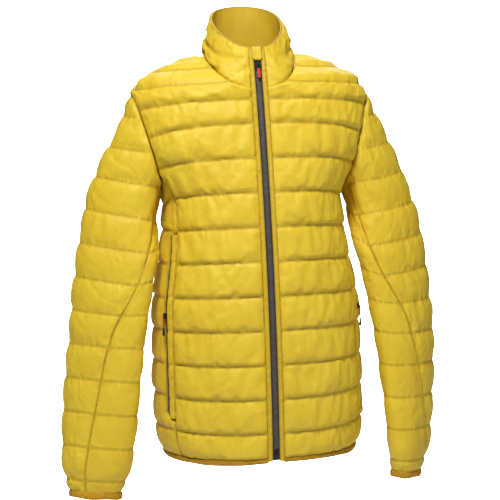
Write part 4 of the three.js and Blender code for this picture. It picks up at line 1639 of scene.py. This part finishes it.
@dataclass
class SidePocket:
    """One side pocket: welt, zip tape, bag, slider, cord and tip."""

    form: BodyForm
    side: Side
    top: float = -286.0
    bottom: float = -572.0

    def _band(self, name: str, degrees: tuple[float, float], z: tuple[float, float],
              face: Callable[[Array, Array], Array], back: float, steps: int, across: int) -> bpy.types.Object:
        """A strip along the side seam between two angles past it.

        Args:
            name: The piece's name.
            degrees: Its edges' angles past the seam.
            z: The heights of its ends.
            face: The depth of its front.
            back: The depth of its back.
            steps: How many rows.
            across: How many columns.

        Returns:
            The closed strip.
        """
        share = np.linspace(0, 1, across)[None, :]
        height = np.linspace(z[0], z[1], steps)[:, None]
        share, height = np.broadcast_arrays(share, height)
        angle = self.form.seam_angle(height) + np.radians(mix(degrees[0], degrees[1], share))
        flip = np.array([self.side.sign, 1, 1])
        outer = self.form.surface(height, angle, face(share, height)) * flip
        inner = self.form.surface(height, angle, np.full(share.shape, back)) * flip
        wide = np.linalg.norm(outer[0, -1] - outer[0, 0])
        seam = np.minimum(share, 1 - share) * wide
        return wall(name, outer, inner, np.stack([height, share * wide], -1), seam)

    def build(self, shop: Workshop) -> None:
        """Builds and fits every piece of the pocket.

        Args:
            shop: Where finished pieces are fitted.
        """
        word = self.side.label

        def welt(share: Array, height: Array) -> Array:
            """A folded lip, rounded across, with a dent at each quilted row and small gathers."""
            roll = 1.9 * np.abs(2 * share - 1) ** 3
            row = 1.0 * np.exp(-((((height - HEM_Z - 40) / PITCH + 0.5) % 1 - 0.5) * PITCH / 3.0) ** 2)
            return 0.2 + roll + row + 0.5 * value_noise(height / 7, share * 2, 111)

        ends = (self.bottom + 0.4, self.top - 0.4)
        shop.fit(self._band(f"pocket_welt_{word}", (-0.2, 5.5), ends, welt, 6.0, 200, 15),
                 Slot.SHELL, "jacket", f"pocket_welt_{word}")
        coil = lambda share, height: 4.7 - 0.5 * np.exp(-(((share - 0.5) / 0.22) ** 2)) * np.cos(height * 3.4) ** 2
        shop.fit(self._band(f"pocket_zip_{word}", (5.7, 8.8), ends, coil, 6.0, 420, 13),
                 Slot.TAPE, "jacket", f"pocket_zip_{word}")
        soft = lambda share, height: 10.3 + 0.4 * value_noise(height / 24, share * 6, 113)
        shop.fit(self._band(f"pocket_bag_{word}", (-38, 13), (-594, -392), soft, 12.0, 60, 40),
                 Slot.LINING, "jacket", f"pocket_bag_{word}")
        shop.harden(f"pocket_slider_{word}", Slot.HARDWARE, 0.6)
        self._cord(shop)

    def _cord(self, shop: Workshop) -> None:
        """The pull: a twisted cord, and a moulded tip with a waist and grip rings.

        Args:
            shop: Where finished pieces are fitted.
        """
        word = self.side.label
        turn = np.linspace(0, 2 * math.pi, 14, endpoint=False)[None, :]
        level = np.array([1.0, 0.0, 0.0])
        for node, slot, radius in ((f"pocket_cord_{word}", Slot.RED, None), (f"pocket_tip_{word}", Slot.HARDWARE, 1)):
            low, high = (np.array(corner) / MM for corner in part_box(node))
            middle = (low + high) / 2
            t = np.linspace(0, 1, 70)
            path = np.stack([np.full_like(t, middle[0]), np.full_like(t, middle[1]), mix(high[2], low[2], t)], -1)
            cap = np.sqrt(np.maximum(1 - np.clip(np.abs(2 * t - 1) * 12 - 11, 0, 1) ** 2, 0.02))
            if radius is None:
                strand = 1 + 0.07 * np.cos(2 * turn + t[:, None] * 50)
                size = 1.05 * cap[:, None] * strand
            else:
                grip = 1 - 0.08 * (np.cos(t * 52) > 0.3) * (t > 0.4) * (t < 0.85)
                size = (mix(1.35, 1.85, smoothstep(t, 0.1, 0.7)) * cap * grip)[:, None] + 0 * turn
            ring = np.stack([size * np.cos(turn), size * np.sin(turn)], -1)
            frames = np.tile(level, (len(t), 1)), np.tile([0.0, 1.0, 0.0], (len(t), 1))
            shop.fit(tube(node, path, ring, *frames, 40), slot, f"pocket_tag_{word}", node)


@dataclass
class Hem:
    """The gathered elastic that closes the body's lower edge."""

    form: BodyForm

    def build(self, shop: Workshop) -> None:
        """A rounded band below the panels with gathers about 8 mm apart and a soft wave along its edge.

        Args:
            shop: Where finished pieces are fitted.
        """
        turn = np.linspace(0.056 - math.pi, math.pi - 0.056, 700)[None, :]
        down = np.linspace(0, 1, 9)[:, None]
        angle = math.pi - np.abs(turn)
        crown = np.sqrt(np.maximum(1 - (2 * down - 1) ** 2, 0))
        gather = np.sin(turn * 105 + 2.5 * value_noise(turn * 6, 0 * turn, 121))
        wave = 1.4 * value_noise(turn * 3.2, 0 * turn, 123) * down
        top = self.form.surface(np.full(angle.shape, HEM_Z), angle, SEAM_DEPTH + 0 * angle)[..., 2] + 1.0
        z = mix(top, HEM_Z - 6.4, down) - wave
        flip = np.where(turn < 0, -1.0, 1.0)
        faces = []
        for below in (2.0 - 1.4 * crown - 0.55 * gather * crown, 5.2 + 1.2 * crown - 0.2 * gather * crown):
            grid = self.form.surface(np.full(z.shape, HEM_Z), angle + 0 * z, below)
            grid[..., 0] *= flip
            grid[..., 2] = z
            faces.append(grid)
        uv = cloth_uv(faces[0])
        shop.fit(wall("hem_binding", faces[0], faces[1], uv), Slot.BINDING, "jacket", "hem_binding")


# ---------------------------------------------------------------- studio


@dataclass(frozen=True)
class Studio:
    """A pale floor, soft lights and the camera."""

    distance: float = 2.6
    azimuth: float = -11.0
    height: float = -0.13
    target: tuple[float, float, float] = (-0.005, 0.0, -0.32)
    lens: float = 117.0
    roll: float = -1.8

    def build(self) -> None:
        """Sets up the camera, the lights, the sky and the floor."""
        self._camera()
        self._light("key", (-0.7, -1.7, 2.3), 0.8, 98.0)
        self._light("fill", (1.9, -2.2, 0.5), 1.6, 9.0)
        self._light("rim", (0.6, 2.2, 1.5), 1.6, 30.0)
        bpy.context.scene.view_settings.view_transform = "Standard"
        self._sky()
        self._floor()

    def _camera(self) -> None:
        """The camera: on a circle round the jacket, aimed at its middle and rolled a little."""
        turn = math.radians(self.azimuth)
        place = Vector((self.distance * math.sin(turn), -self.distance * math.cos(turn), self.height))
        data = bpy.data.cameras.new("camera")
        data.lens = self.lens
        camera = bpy.data.objects.new("camera", data)
        aim = Vector(self.target) - place
        camera.location = place
        camera.rotation_euler = aim.to_track_quat("-Z", "Y").to_euler()
        camera.rotation_euler.rotate_axis("Z", math.radians(self.roll))
        bpy.context.scene.collection.objects.link(camera)
        bpy.context.scene.camera = camera

    @staticmethod
    def _light(name: str, place: tuple[float, float, float], size: float, power: float) -> None:
        """A square soft light aimed at the jacket's middle.

        Args:
            name: The light's name.
            place: Where it stands, in metres.
            size: The square's side in metres.
            power: Its power in watts.
        """
        data = bpy.data.lights.new(name, "AREA")
        data.size = size
        data.energy = power
        lamp = bpy.data.objects.new(name, data)
        lamp.location = place
        lamp.rotation_euler = (Vector((0, 0, -0.33)) - Vector(place)).to_track_quat("-Z", "Y").to_euler()
        bpy.context.scene.collection.objects.link(lamp)

    @staticmethod
    def _sky() -> None:
        """An even white surround, dimmer as a light than as a backdrop."""
        world = bpy.data.worlds.new("studio")
        world.use_nodes = True
        nodes = NodeTree(world.node_tree)
        sky = world.node_tree.nodes["Background"]
        path = nodes.add("ShaderNodeLightPath").outputs["Is Camera Ray"]
        strength = nodes.add("ShaderNodeMapRange", {0: path, 1: 0.0, 2: 1.0, 3: 0.11, 4: 4.0}).outputs[0]
        nodes.tree.links.new(strength, sky.inputs["Strength"])
        sky.inputs["Color"].default_value = (1, 1, 1, 1)
        bpy.context.scene.world = world

    @staticmethod
    def _floor() -> None:
        """A wide pale floor well below the hanging jacket."""
        size, z = 30000.0, -1250.0
        corners = np.array([[-size, -size, z], [size, -size, z], [size, size, z], [-size, size, z]])
        mesh = bpy.data.meshes.new("floor")
        mesh.from_pydata((corners * MM).tolist(), [], [[0, 1, 2, 3]])
        floor = bpy.data.objects.new("floor", mesh)
        bpy.context.scene.collection.objects.link(floor)
        material, nodes, shader = new_material("pale_floor")
        shader.inputs["Base Color"].default_value = (0.9, 0.9, 0.9, 1)
        shader.inputs["Roughness"].default_value = 0.9
        shader.inputs["Emission Strength"].default_value = 3.4
        path = nodes.add("ShaderNodeLightPath").outputs["Is Camera Ray"]
        glow = nodes.blend(path, (0, 0, 0, 1), (1, 1, 1, 1))
        nodes.tree.links.new(glow, shader.inputs["Emission Color"])
        floor.data.materials.append(material)


# ---------------------------------------------------------------- making it


def main() -> None:
    """Builds the jacket's sub-assemblies in order."""
    logging.basicConfig(level=logging.INFO, format="%(message)s")
    Studio().build()
    shop = Workshop(Wardrobe())
    form = BodyForm()
    quilter = Quilter([])
    panels = BodyPanels(form, quilter)
    sleeves = [Sleeve(SleeveForm(form, side), quilter) for side in Side]
    collar = Collar(CollarForm(form), quilter)
    panels.start()
    for sleeve in sleeves:
        sleeve.start()
    collar.start()
    quilter.settle()
    for number, skin in enumerate(quilter.skins):
        thickness = SLEEVE_THICKNESS if "sleeve" in skin.name else BODY_THICKNESS
        if skin.name == "collar":
            thickness = COLLAR_THICKNESS
        piece = quilter.close(skin, thickness, 200 + number)
        if skin.name.startswith("sleeve"):
            shop.bend(piece, Slot.SHELL, Side.RIGHT if skin.name.endswith("right") else Side.LEFT, skin.name)
        else:
            shop.fit(piece, Slot.SHELL, "jacket", skin.name)
    panels.line_inside(shop)
    for sleeve in sleeves:
        sleeve.finish(shop)
    collar.finish(shop)
    FrontZip(form.zip_arc).build(shop)
    for side in Side:
        SidePocket(form, side).build(shop)
    Hem(form).build(shop)


if __name__ == "__main__":
    main()
